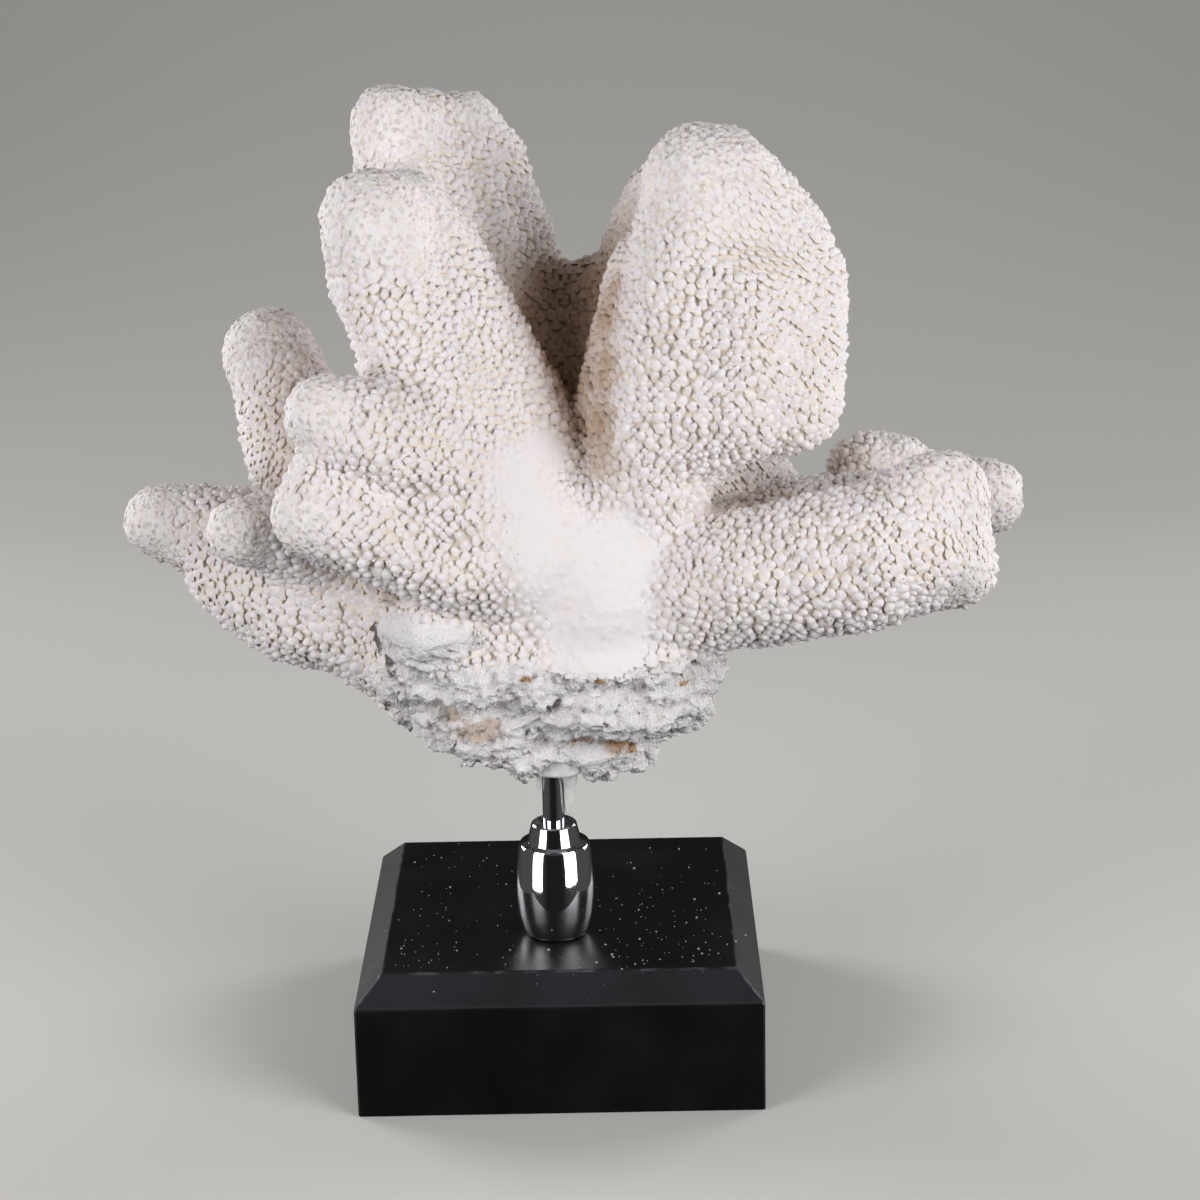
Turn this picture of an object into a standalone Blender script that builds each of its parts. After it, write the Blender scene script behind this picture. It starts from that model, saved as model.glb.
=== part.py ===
"""White cauliflower coral skeleton held on a turned chrome post above a black plinth.

Sizes are in millimetres and are turned to metres as each mesh is made. The origin is the
centre of the plinth's underside, +Z is up, +X is the coral's right side and -Y its front.
"""
import math

import bmesh
import bpy
import numpy as np
from mathutils import Matrix, Vector

MM = 0.001
# Room left between neighbouring solids
GAP = 0.3
# Points nearer to each other than this are one point
SAME_POINT = 0.02

# Black wooden plinth
PLINTH_WIDTH = 120.0
PLINTH_HEIGHT = 42.4
PLINTH_CHAMFER = 8.0
PLINTH_EASED_EDGE = 0.6

# Chrome rod from the plinth up into the coral
POST_X = -1.1
POST_Y = -22.7
ROD_RADIUS = 3.25
ROD_FOOT_Z = 24.0
ROD_HEAD_Z = 128.0
ROD_END_CHAMFER = 0.5
ROUND_SIDES = 28
SMOOTH_ANGLE = math.radians(30)

# Turned chrome ferrule, as radius and height above the plinth from its top edge down
FERRULE_PROFILE = [
    (6.4, 35.0), (6.8, 34.6), (7.9, 29.9), (8.1, 29.2), (9.7, 29.0), (10.3, 28.7), (10.7, 28.0),
    (11.4, 23.5), (12.0, 16.5), (12.0, 13.0), (11.5, 7.0), (10.5, 2.2), (9.7, 0.5), (9.2, 0.0),
]

# White filler round the rod: a plug set into the rock, with two drips down the rod
FILLER_RADIUS = 9.5
FILLER_TOP_Z = 100.5
FILLER_FOOT_Z = 70.0
FILLER_VOXEL = 0.5
FILLER_SMOOTH_STEPS = 2
FILLER_TRIANGLES = 420
FILLER_RIBS = [
    [(-1, -23, 99.5, 14, 13, 6.0), (1, -24, 99.5, 14, 12, 6.0)],
    [(-4.7, -24, 97, 2.0, 2.0, 3.0), (-5.3, -23.6, 91.5, 1.0, 1.0, 1.0),
     (-5.3, -23.4, 87.6, 0.7, 0.7, 0.7)],
    [(3.0, -24.5, 96, 3.4, 3.0, 3.0), (3.9, -23.8, 91, 2.3, 2.0, 2.0), (3.6, -23.4, 85, 1.7, 1.5, 1.5),
     (3.2, -23.2, 80.4, 0.8, 0.8, 0.8)],
]

# Spacing of the balls strung along a rib, as a share of the ball's radius
BALL_SPACING = 0.25
BALL_SEGMENTS = 16
BALL_RINGS = 10

# Skin over the coral
SKIN_VOXEL = 2.0
SKIN_SMOOTH_STEPS = 6
SWELL_SIZE = 13.0
SWELL_HEIGHT = 2.4
ROCK_SMOOTH_STEPS = 2
ROCK_LUMP_SIZE = 5.5
ROCK_LUMP_HEIGHT = 5.0
ROCK_TOP_Z = 134.0
ROCK_LEFT_X = -50.0
ROCK_RIGHT_X = 54.0
ROCK_EDGE = 4.0
# Broken layers of the rock, each reaching out most at its top edge
LAYER_TOP_Z = 132.5
LAYER_HEIGHT = 16.0
LAYER_REACH = 2.6
LAYER_WAVES = [(3.2, 12.0, 0.6), (1.8, 5.0, 2.1)]
ROCK_MIDDLE = (4.0, -10.0)
CORAL_TRIANGLES = 5200

# Box that the block of each fork is cut from
FORK_BOX = 420.0

# Ribs of the living coral. A rib is a string of balls: x, y, z and radius of each, then the
# half depth from front to back where the ball is flattened.
TRUNK_RIBS = [
    [(4, -12, 115, 22, 27), (9, -12, 131, 27, 35), (14, -12, 148, 27, 36), (18, -10, 164, 23, 32)],
    [(-16, -14, 127, 20, 34), (26, -12, 128, 20, 34)],
    [(-10, -10, 143, 22, 34), (3, -12, 161, 21, 34)],
    [(32, -12, 143, 20, 32), (14, 8, 125, 21, 30)],
]
SADDLE_RIBS = [
    [(8, 32, 212, 19), (19, 28, 219, 20)],
    [(11, 14, 198, 18), (15, 4, 179, 18)],
    [(14, 30, 216, 19), (13, 14, 197, 18)],
]
UPPER_LEFT_BACK_RIBS = [
    [(-45, 20, 280, 12), (-42, 18, 267, 13), (-28, 6, 228, 15), (-10, -6, 188, 18), (1, -10, 168, 19)],
    [(-25, 42, 277, 11), (-20, 40, 264, 14), (-11, 32, 231, 16), (7, 4, 176, 18)],
    [(-35, 30, 278, 11), (-23, 24, 248, 14), (-18, 18, 231, 15)],
]
UPPER_LEFT_FRONT_RIBS = [
    [(-48, -16, 257, 16), (-45, -18, 240, 15), (-38, -20, 224, 15), (-32, -22, 207, 20),
     (-20, -22, 186, 22), (-6, -20, 166, 23)],
    [(-39, -4, 258, 13), (-31, -6, 248, 13), (-24, -10, 231, 14), (-8, -14, 193, 17), (2, -14, 172, 19)],
]
LEFT_BACK_RIBS = [
    [(-87, 44, 208, 14), (-82, 40, 196, 15), (-80, 34, 183, 15), (-74, 26, 172, 16), (-61, 14, 162, 16),
     (-43, 2, 153, 17), (-22, -6, 145, 18)],
]
LEFT_MIDDLE_RIBS = [
    [(-62, -46, 209, 11), (-49, -42, 204, 14), (-33, -36, 193, 16), (-17, -28, 176, 19)],
    [(-59, -46, 193, 11), (-68, -50, 180, 10), (-56, -46, 179, 14), (-28, -38, 167, 17),
     (-10, -30, 161, 19)],
    [(-56, -46, 200, 12), (-43, -42, 187, 15)],
]
FAR_LEFT_RIBS = [
    [(-116, -4, 168, 11), (-104, -5, 166, 12), (-75, -8, 154, 20), (-54, -9, 147, 22), (-31, -10, 137, 22)],
    [(-94, -8, 152, 13), (-75, -10, 144, 18), (-60, -11, 141, 18), (-46, -12, 133, 18), (-28, -12, 127, 18)],
    [(-88, -33, 172, 10.5), (-80, -28, 171, 11), (-70, -22, 165, 12)],
]
UPPER_RIGHT_RIBS = [
    [(45, -20, 267, 17), (50, -20, 266, 17), (64, -18, 251, 16), (69, -20, 237, 17), (69, -24, 206, 15)],
    [(45, -20, 267, 17), (44, -24, 249, 18), (40, -26, 230, 19), (35, -26, 215, 19), (28, -22, 179, 18),
     (23, -18, 162, 19)],
    [(57, -28, 236, 19), (54, -28, 208, 18), (41, -26, 201, 17)],
    [(36, 20, 256, 13), (28, 22, 227, 16), (20, 6, 194, 19)],
    [(32, -8, 240, 13), (26, -10, 222, 13), (22, -14, 205, 13)],
]
RIGHT_FRONT_RIBS = [
    [(26, -22, 148, 19), (43, -30, 152, 18), (60, -36, 157, 19), (92, -42, 164, 20), (103, -42, 168, 18)],
    [(101, -40, 173, 14), (111, -40, 180, 14), (112, -40, 166, 14), (117, -38, 159, 11), (109, -38, 158, 11)],
    [(44, -14, 153, 16), (60, -10, 159, 14), (73, -8, 163, 15), (87, -10, 163, 15), (99, -16, 166, 15)],
]
RIGHT_BACK_RIBS = [
    [(38, 6, 150, 17), (63, 16, 151, 15), (88, 24, 155, 14), (106, 26, 159, 15), (121, 24, 162, 14),
     (133, 20, 165, 11)],
    [(97, 28, 171, 12), (105, 28, 170, 12)],
]
BACK_RIGHT_RIBS = [
    [(26, 20, 146, 18), (42, 44, 152, 17), (57, 62, 153, 16), (64, 72, 152, 15)],
    [(46, 60, 154, 13), (58, 78, 152, 12)],
]
BACK_MIDDLE_RIBS = [
    [(11, 12, 142, 21), (8, 40, 160, 19), (2, 78, 188, 15)],
    [(14, 56, 166, 16), (18, 74, 177, 14)],
]
BACK_LEFT_RIBS = [
    [(-17, 10, 134, 20), (-36, 40, 142, 18), (-50, 66, 148, 16), (-53, 76, 150, 14)],
    [(-37, 54, 147, 15), (-34, 72, 156, 14)],
]
LIVING_RIBS = (
    TRUNK_RIBS + SADDLE_RIBS + UPPER_LEFT_BACK_RIBS + UPPER_LEFT_FRONT_RIBS + LEFT_BACK_RIBS
    + LEFT_MIDDLE_RIBS + FAR_LEFT_RIBS + UPPER_RIGHT_RIBS + RIGHT_FRONT_RIBS + RIGHT_BACK_RIBS
    + BACK_RIGHT_RIBS + BACK_MIDDLE_RIBS + BACK_LEFT_RIBS
)

# Ribs of the dead, broken foot: x, y, z and the three half sizes of each ball
ROCK_RIBS = [
    # Mass under the trunk
    [(-27, -22, 117, 13, 18, 12), (-3, -22, 117, 14, 20, 13), (19, -22, 117, 15, 21, 14),
     (35, -20, 118, 14, 16, 11)],
    [(-22, -20, 110, 13, 19, 9), (-4, -18, 105, 13, 18, 9), (10, -16, 104, 13, 20, 9),
     (22, -12, 107, 13, 20, 10)],
    [(-17, 2, 104, 16, 22, 12), (4, 14, 104, 19, 22, 14), (24, 2, 106, 16, 20, 12)],
    [(-42, -10, 114, 9, 16, 9), (-31, -8, 115, 14, 20, 12)],
    # Shelf on the left and broad mass on the right
    [(-35, -32, 125, 7, 10, 4), (-21, -36, 125.5, 9, 11, 4.5), (-6, -38, 125, 9, 11, 5)],
    [(0, -34, 121, 10, 13, 9), (14, -35, 120, 11, 13, 10.5), (28, -33, 120, 11, 13, 10.5),
     (39, -25, 120, 9, 12, 9)],
    # Live rim that overhangs both, out to its point on the right
    [(-2, -36, 132.5, 9, 13, 2.5), (14, -37, 132.5, 11, 14, 2.5), (28, -35, 132, 11, 14, 2.5),
     (40, -27, 131, 9, 12, 2.5)],
    [(40, -27, 127, 6, 9, 4), (48, -26, 126, 3.5, 6, 2.5)],
    # Lower bulge on the left and the chunk that hangs on the right
    [(-33, -27, 111, 8, 10, 8), (-23, -30, 107, 10, 11, 9), (-9, -28, 103, 10, 11, 8)],
    [(12, -20, 96, 10, 9, 5.5), (22, -17, 97.5, 8, 8, 5.5)],
    [(-8, -22, 97, 8, 9, 4), (2, -20, 96, 8, 9, 4)],
    # Broken ledge of dead coral on the left
    [(-30, -34, 133, 10, 10, 8), (-40, -36, 136, 8, 9, 7)],
    [(-46, -33, 143, 6.5, 8, 7.5), (-36, -40, 143.5, 8, 9, 7.5), (-25, -43, 140, 6, 8, 5.5)],
    [(-46, -34, 130, 6, 7, 6), (-41, -30, 122, 8, 9, 6)],
]

# Hollows, strung like the ribs: centre and three half sizes of each ball taken away
HOLLOW_VOXEL = 1.2
HOLLOWS = [
    # In the foot: behind the ledge, under the shelf, under the overhang and beside the ledge
    [(-18, -54, 138, 9, 13, 7)],
    [(-18, -50, 117.5, 18, 12, 5.0)],
    [(18, -41, 103.5, 14, 13, 5.5)],
    [(-46, -44, 132, 5, 7, 4)],
    # Dip along the front of the left middle branch
    [(-58, -64, 195, 10, 12, 8), (-40, -63, 186, 11, 12.5, 9), (-23, -60, 169, 10, 11.5, 8)],
    # Crease behind the upper left front branch
    [(-31, 2, 265, 5), (-24, 2, 256, 5), (-19, 0, 249, 5), (-14, -4, 240, 4)],
    # Groove between the two lobes of the upper left back branch
    [(-27, 24, 286, 5), (-24, 21, 277, 5), (-20, 18, 267, 4.5), (-18, 13, 258, 4.5), (-16, 9, 249, 4)],
    # Crease round the knob of the far left branch
    [(-100, -20, 177, 6), (-100.5, -22, 168, 6), (-96, -25, 158.5, 6), (-88, -29, 156, 5)],
    # Notch and dip under the end of the right front branch
    [(127, -47, 172, 4.5), (124, -56, 170, 4)],
    [(100, -62, 154, 7, 6, 5), (112, -56, 152, 6, 6, 5)],
]

# Forks, in the order in which the branches are parted from the trunk. Each has the flat
# sides of its block as a point on the side and the way from it into the branch: first the
# parting face across the branch's foot, then the sides towards branches parted later.
FORKS = {
    "left_middle": [
        ((-16, -34, 173), (-0.88, -0.26, 0.39)),
        ((-35, -40, 206), (-0.62, 0.00, -0.78)),
        ((-72, -38, 174), (0.46, -0.71, 0.53)),
        ((-40, -41, 155), (0.30, 0.00, 0.95)),
    ],
    "upper_left_front": [
        ((-12, -22, 182), (-0.35, 0.00, 0.94)),
        ((-26, -2, 228), (0.00, -0.98, 0.17)),
        ((10, -20, 200), (-0.99, 0.00, -0.12)),
        ((-64, -20, 198), (0.50, 0.00, 0.86)),
    ],
    "upper_left_back": [
        ((-6, 2, 192), (-0.27, 0.20, 0.94)),
        ((10, -20, 200), (-0.99, 0.00, -0.12)),
        ((-60, 25, 215), (0.80, 0.00, 0.60)),
        ((0, 58, 205), (0.00, -0.60, 0.80)),
    ],
    "upper_right": [
        ((30, -8, 186), (0.20, 0.00, 0.98)),
        ((84, -30, 192), (-0.30, 0.00, 0.95)),
        ((20, 58, 200), (0.00, -0.60, 0.80)),
        ((0, 0, 200), (0.99, 0.00, 0.10)),
    ],
    "far_left": [
        ((-40, -11, 138), (-0.94, 0.00, 0.34)),
        ((-60, 6, 157), (-0.21, -0.87, -0.49)),
        ((-46, -29, 140), (-0.50, 0.85, 0.00)),
    ],
    "left_back": [
        ((-46, 5, 155), (-0.77, 0.51, 0.38)),
        ((-48, 27, 152), (-0.61, -0.63, 0.49)),
    ],
    "right_front": [
        ((42, -26, 152), (0.94, -0.23, 0.23)),
        ((74, 6, 158), (-0.10, -0.94, 0.34)),
        ((46, -20, 174), (0.43, 0.00, -0.90)),
        ((50, -26, 131), (0.00, 0.00, 1.00)),
    ],
    "right_back": [
        ((50, 11, 150), (0.93, 0.37, 0.04)),
        ((52, 30, 152), (0.60, -0.80, 0.00)),
    ],
    "back_right": [
        ((36, 34, 149), (0.55, 0.83, 0.05)),
        ((30, 58, 160), (0.93, 0.12, -0.35)),
    ],
    "back_middle": [
        ((10, 34, 158), (-0.05, 0.85, 0.52)),
        ((-15, 55, 160), (0.85, 0.10, 0.50)),
    ],
    "back_left": [
        ((-33, 34, 141), (-0.45, 0.85, 0.15)),
    ],
}

WHITE_CORAL = (0.80, 0.76, 0.69, 1.0)
CHALK = (0.78, 0.77, 0.74, 1.0)
BLACK_PAINT = (0.012, 0.012, 0.013, 1.0)
CHROME = (0.80, 0.80, 0.81, 1.0)


def material(name, colour, roughness, metallic=0.0):
    """A plain surface for one piece."""
    surface = bpy.data.materials.new(name)
    surface.use_nodes = True
    shader = surface.node_tree.nodes["Principled BSDF"]
    shader.inputs["Base Color"].default_value = colour
    shader.inputs["Roughness"].default_value = roughness
    shader.inputs["Metallic"].default_value = metallic
    surface.diffuse_color = colour
    return surface


def place(name, mesh, collection, surface=None):
    """Puts a mesh into a collection as one named object."""
    item = bpy.data.objects.new(name, mesh)
    collection.objects.link(item)
    if surface is not None:
        mesh.materials.clear()
        mesh.materials.append(surface)
    return item


def applied(item):
    """Mesh of an object with its modifiers worked in."""
    depsgraph = bpy.context.evaluated_depsgraph_get()
    mesh = bpy.data.meshes.new_from_object(item.evaluated_get(depsgraph))
    item.modifiers.clear()
    item.data = mesh
    return mesh


def boolean(item, cutter, operation, solver="EXACT"):
    """Boolean of one object with another, worked in at once."""
    step = item.modifiers.new(operation.lower(), "BOOLEAN")
    step.operation = operation
    step.solver = solver
    step.object = cutter
    applied(item)


def reskin(item, voxel):
    """Runs overlapping solids together under one closed skin."""
    skin = item.modifiers.new("skin", "REMESH")
    skin.mode = "VOXEL"
    skin.voxel_size = voxel * MM
    applied(item)


def cleaned(item):
    """Merges the points that a cut leaves on top of each other and turns faces into triangles."""
    bm = bmesh.new()
    bm.from_mesh(item.data)
    bmesh.ops.remove_doubles(bm, verts=bm.verts, dist=SAME_POINT * MM)
    bmesh.ops.dissolve_degenerate(bm, edges=bm.edges, dist=SAME_POINT * MM)
    bmesh.ops.triangulate(bm, faces=bm.faces)
    bm.to_mesh(item.data)
    bm.free()


def lathe(name, profile, collection, surface):
    """Turned solid from radius and height points, closed on the post's axis at both ends."""
    outline = [(0.0, profile[0][1])] + profile + [(0.0, profile[-1][1])]
    points = [(POST_X + radius, POST_Y, height) for radius, height in outline]
    mesh = bpy.data.meshes.new(name)
    local = [((x - POST_X) * MM, 0.0, z * MM) for x, y, z in points]
    mesh.from_pydata(local, [(i, i + 1) for i in range(len(local) - 1)], [])
    item = place(name, mesh, collection)
    turn = item.modifiers.new("turn", "SCREW")
    turn.axis = "Z"
    turn.angle = math.tau
    turn.steps = ROUND_SIDES
    turn.render_steps = ROUND_SIDES
    turn.use_merge_vertices = True
    turn.merge_threshold = SAME_POINT * MM
    turn.use_smooth_shade = False
    applied(item)
    bm = bmesh.new()
    bm.from_mesh(item.data)
    bmesh.ops.remove_doubles(bm, verts=bm.verts, dist=SAME_POINT * MM)
    bmesh.ops.recalc_face_normals(bm, faces=bm.faces)
    bmesh.ops.translate(bm, verts=bm.verts, vec=(POST_X * MM, POST_Y * MM, 0.0))
    bm.to_mesh(item.data)
    bm.free()
    if surface is not None:
        item.data.materials.clear()
        item.data.materials.append(surface)
    return item


def rod_solid(name, radius, foot, head, chamfer, collection, surface=None):
    """Upright round bar on the post's axis with its two ends chamfered."""
    end = radius - chamfer
    profile = [(end, head), (radius, head - chamfer), (radius, foot + chamfer), (end, foot)]
    return lathe(name, profile, collection, surface)


def ball_points():
    """Points and faces of one ball of radius one."""
    bm = bmesh.new()
    bmesh.ops.create_uvsphere(bm, u_segments=BALL_SEGMENTS, v_segments=BALL_RINGS, radius=1.0)
    points = np.array([v.co[:] for v in bm.verts])
    faces = [[v.index for v in f.verts] for f in bm.faces]
    bm.free()
    return points, faces


def full_station(station):
    """Centre and three half sizes of a ball given in the short or the long form."""
    x, y, z, radius = station[:4]
    depth = station[4] if len(station) > 4 else radius
    height = station[5] if len(station) > 5 else radius
    return np.array([x, y, z, radius, depth, height], dtype=float)


def strung_balls(rib):
    """Closely set balls that pass evenly from one station of a rib to the next."""
    stations = [full_station(s) for s in rib]
    balls = []
    for start, end in zip(stations[:-1], stations[1:]):
        spacing = BALL_SPACING * min(start[3:].min(), end[3:].min())
        steps = max(2, math.ceil(np.linalg.norm(end[:3] - start[:3]) / spacing))
        balls += [start + (end - start) * (k / steps) for k in range(steps)]
    return balls + [stations[-1]]


def balls_mesh(name, balls):
    """One mesh of many balls, still overlapping, each a copy of the first set in its place."""
    points, faces = ball_points()
    stacked = []
    all_faces = []
    for ball in balls:
        offset = len(stacked) * len(points)
        centre, half_sizes = np.array(ball[:3]), np.array(ball[3:])
        stacked.append((points * half_sizes + centre) * MM)
        all_faces += [[i + offset for i in face] for face in faces]
    mesh = bpy.data.meshes.new(name)
    mesh.from_pydata(np.concatenate(stacked).tolist(), [], all_faces)
    return mesh


def ramp(value, start, end):
    """Zero below start, one above end and an even rise between."""
    return np.clip((value - start) / (end - start), 0.0, 1.0)


def points_of(mesh):
    """Points of a mesh in millimetres."""
    flat = np.empty(len(mesh.vertices) * 3)
    mesh.vertices.foreach_get("co", flat)
    return flat.reshape(-1, 3) / MM


def texture(name, kind, size):
    """Solid noise whose features are about as wide as the given size."""
    noise = bpy.data.textures.new(name, kind)
    noise.noise_scale = size * MM
    return noise


def displace(item, name, noise, height, group):
    """Raises and lowers the skin by noise, half each way, where the group has weight."""
    step = item.modifiers.new(name, "DISPLACE")
    step.texture = noise
    step.texture_coords = "LOCAL"
    step.strength = height * MM
    step.mid_level = 0.5
    step.vertex_group = group
    applied(item)


def even_out(item, name, steps, group):
    """Smooths the skin where the group has weight."""
    step = item.modifiers.new(name, "SMOOTH")
    step.factor = 0.5
    step.iterations = steps
    step.vertex_group = group
    applied(item)


def rock_share(where):
    """One on the dead foot, zero on the living coral and an even change between the two."""
    return (
        ramp(-where[:, 2], -ROCK_TOP_Z, -ROCK_TOP_Z + ROCK_EDGE)
        * ramp(where[:, 0], ROCK_LEFT_X, ROCK_LEFT_X + ROCK_EDGE)
        * ramp(-where[:, 0], -ROCK_RIGHT_X, -ROCK_RIGHT_X + ROCK_EDGE)
    )


def group_points(item, name, weights):
    """Names the points that a later step works on, in tenths of weight."""
    group = item.vertex_groups.new(name=name)
    tenths = np.ceil(weights * 10)
    for level in range(1, 11):
        chosen = np.nonzero(tenths == level)[0]
        group.add([int(i) for i in chosen], level / 10, "REPLACE")


def layer_rock(item):
    """Pushes the foot's sides out and in, so that it stands in broken layers."""
    where = points_of(item.data)
    wave = sum(
        height * np.sin(where[:, 0] / length + start) * np.cos(where[:, 1] / length - start)
        for height, length, start in LAYER_WAVES
    )
    level = (where[:, 2] + wave - LAYER_TOP_Z) / LAYER_HEIGHT
    push = LAYER_REACH * (level - np.floor(level) - 0.5) * rock_share(where)
    outward = where[:, :2] - np.array(ROCK_MIDDLE)
    outward /= np.maximum(np.linalg.norm(outward, axis=1, keepdims=True), 1.0)
    where[:, :2] += outward * push[:, None]
    item.data.vertices.foreach_set("co", (where * MM).ravel())
    item.data.update()


def coral_skin(collection):
    """The whole coral as one closed skin: ribs and rock run together, hollowed and roughened."""
    balls = [ball for rib in LIVING_RIBS + ROCK_RIBS for ball in strung_balls(rib)]
    coral = place("whole_coral", balls_mesh("whole_coral", balls), collection)
    reskin(coral, SKIN_VOXEL)
    hollow_balls = [ball for rib in HOLLOWS for ball in strung_balls(rib)]
    hollows = place("hollows", balls_mesh("hollows", hollow_balls), collection)
    reskin(hollows, HOLLOW_VOXEL)
    boolean(coral, hollows, "DIFFERENCE")
    reskin(coral, SKIN_VOXEL)
    rock = rock_share(points_of(coral.data))
    group_points(coral, "rock", rock)
    group_points(coral, "living", 1.0 - rock)
    even_out(coral, "even living coral", SKIN_SMOOTH_STEPS, "living")
    even_out(coral, "even rock", ROCK_SMOOTH_STEPS, "rock")
    layer_rock(coral)
    displace(coral, "swell", texture("swell", "CLOUDS", SWELL_SIZE), SWELL_HEIGHT, "living")
    displace(coral, "lumps", texture("lumps", "CLOUDS", ROCK_LUMP_SIZE), ROCK_LUMP_HEIGHT, "rock")
    fewer = coral.modifiers.new("fewer", "DECIMATE")
    fewer.ratio = CORAL_TRIANGLES / sum(len(p.vertices) - 2 for p in coral.data.polygons)
    applied(coral)
    cleaned(coral)
    return coral


def fork_block(name, sides, grown, collection):
    """Large box cut back to the flat sides of one fork, each moved out by the growth."""
    bm = bmesh.new()
    bmesh.ops.create_cube(bm, size=FORK_BOX * MM, matrix=Matrix.Translation(Vector(sides[0][0]) * MM))
    for point, inward in sides:
        way = Vector(inward).normalized()
        everything = bm.verts[:] + bm.edges[:] + bm.faces[:]
        cut = bmesh.ops.bisect_plane(
            bm, geom=everything, dist=0.001 * MM, plane_co=(Vector(point) - way * grown) * MM,
            plane_no=way, clear_inner=True,
        )
        rim = [item for item in cut["geom_cut"] if isinstance(item, bmesh.types.BMEdge)]
        bmesh.ops.contextual_create(bm, geom=rim)
    bm.normal_update()
    bmesh.ops.recalc_face_normals(bm, faces=bm.faces)
    if bm.calc_volume(signed=True) < 0:
        bmesh.ops.reverse_faces(bm, faces=bm.faces)
    mesh = bpy.data.meshes.new(name)
    bm.to_mesh(mesh)
    bm.free()
    return place(name, mesh, collection)


def part_branches(coral, parts, cutters, surface):
    """Parts each branch from the coral at its fork; what is left is the trunk."""
    for name, sides in FORKS.items():
        branch = place("coral_" + name, coral.data.copy(), parts, surface)
        boolean(branch, fork_block(name + "_block", sides, 0.0, cutters), "INTERSECT", "MANIFOLD")
        boolean(coral, fork_block(name + "_room", sides, GAP, cutters), "DIFFERENCE", "MANIFOLD")
        cleaned(branch)
        cleaned(coral)
    trunk = place("coral_trunk", coral.data.copy(), parts, surface)
    bpy.data.objects.remove(coral)
    return trunk


def plinth_solid(collection, surface):
    """Square block, chamfered round the top, its other edges eased, bored for the rod."""
    bm = bmesh.new()
    bmesh.ops.create_cube(bm, size=1.0)
    size = Vector((PLINTH_WIDTH, PLINTH_WIDTH, PLINTH_HEIGHT)) * MM
    bmesh.ops.scale(bm, verts=bm.verts, vec=size)
    bmesh.ops.translate(bm, verts=bm.verts, vec=(0.0, 0.0, size.z / 2))
    top = [edge for edge in bm.edges if all(v.co.z > size.z / 2 for v in edge.verts)]
    bmesh.ops.bevel(bm, geom=top, offset=PLINTH_CHAMFER * MM, segments=1, affect="EDGES")
    mesh = bpy.data.meshes.new("plinth")
    bm.to_mesh(mesh)
    bm.free()
    item = place("plinth", mesh, collection, surface)
    eased = item.modifiers.new("eased edges", "BEVEL")
    eased.width = PLINTH_EASED_EDGE * MM
    eased.segments = 2
    eased.limit_method = "ANGLE"
    eased.angle_limit = SMOOTH_ANGLE
    applied(item)
    return item


def filler_solid(collection, cutters, surface):
    """Plug of filler with its drips, kept inside the round room left for it in the rock."""
    balls = [ball for rib in FILLER_RIBS for ball in strung_balls(rib)]
    item = place("filler", balls_mesh("filler", balls), collection, surface)
    reskin(item, FILLER_VOXEL)
    even = item.modifiers.new("even", "SMOOTH")
    even.factor = 0.5
    even.iterations = FILLER_SMOOTH_STEPS
    applied(item)
    fewer = item.modifiers.new("fewer", "DECIMATE")
    fewer.ratio = FILLER_TRIANGLES / sum(len(p.vertices) - 2 for p in item.data.polygons)
    applied(item)
    inside = rod_solid("filler_block", FILLER_RADIUS, FILLER_FOOT_Z, FILLER_TOP_Z, ROD_END_CHAMFER, cutters)
    boolean(item, inside, "INTERSECT")
    return item


def build():
    """Builds every piece of the coral and its stand."""
    for item in list(bpy.data.objects):
        bpy.data.objects.remove(item)
    parts = bpy.data.collections.new("cauliflower_coral_on_stand")
    cutters = bpy.data.collections.new("cutters")
    bpy.context.scene.collection.children.link(parts)
    bpy.context.scene.collection.children.link(cutters)
    chrome = material("chrome", CHROME, 0.08, 1.0)

    rod_solid("rod", ROD_RADIUS, ROD_FOOT_Z, ROD_HEAD_Z, ROD_END_CHAMFER, parts, chrome)
    rod_room = rod_solid(
        "rod_room", ROD_RADIUS + GAP, ROD_FOOT_Z - GAP, ROD_HEAD_Z + GAP, ROD_END_CHAMFER, cutters
    )
    base = PLINTH_HEIGHT + GAP
    profile = [(radius, base + height) for radius, height in FERRULE_PROFILE]
    ferrule = lathe("ferrule", profile, parts, chrome)
    plinth = plinth_solid(parts, material("black paint", BLACK_PAINT, 0.45))
    filler = filler_solid(parts, cutters, material("white filler", CHALK, 0.7))

    white_coral = material("white coral", WHITE_CORAL, 0.85)
    trunk = part_branches(coral_skin(cutters), parts, cutters, white_coral)
    filler_room = rod_solid(
        "filler_room", FILLER_RADIUS + GAP, FILLER_FOOT_Z, FILLER_TOP_Z + GAP, ROD_END_CHAMFER, cutters
    )
    boolean(trunk, filler_room, "DIFFERENCE")
    for item in (ferrule, plinth, filler, trunk):
        boolean(item, rod_room, "DIFFERENCE")
    for item in parts.objects:
        cleaned(item)
        item.data.shade_smooth()
        item.data.set_sharp_from_angle(angle=SMOOTH_ANGLE)
    for cutter in cutters.objects:
        cutter.hide_render = True
        cutter.display_type = "WIRE"


build()
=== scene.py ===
"""Finished look of a white cauliflower coral skeleton on a chrome post and a black plinth.

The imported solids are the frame. The coral's branches are skinned again from them with the small
cups of the living coral and the grain of its dead foot, the filler and the turned chrome are made
again at full roundness, and the plinth keeps its solid and gets its paint and dust.
Lengths are millimetres in the settings and in the working arrays, and metres in the meshes.
"""

import math

import bmesh
import bpy
import numpy as np
from bpy.props import FloatProperty, FloatVectorProperty, IntProperty, PointerProperty
from mathutils import Matrix, Vector, kdtree, noise
from mathutils.bvhtree import BVHTree


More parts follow.
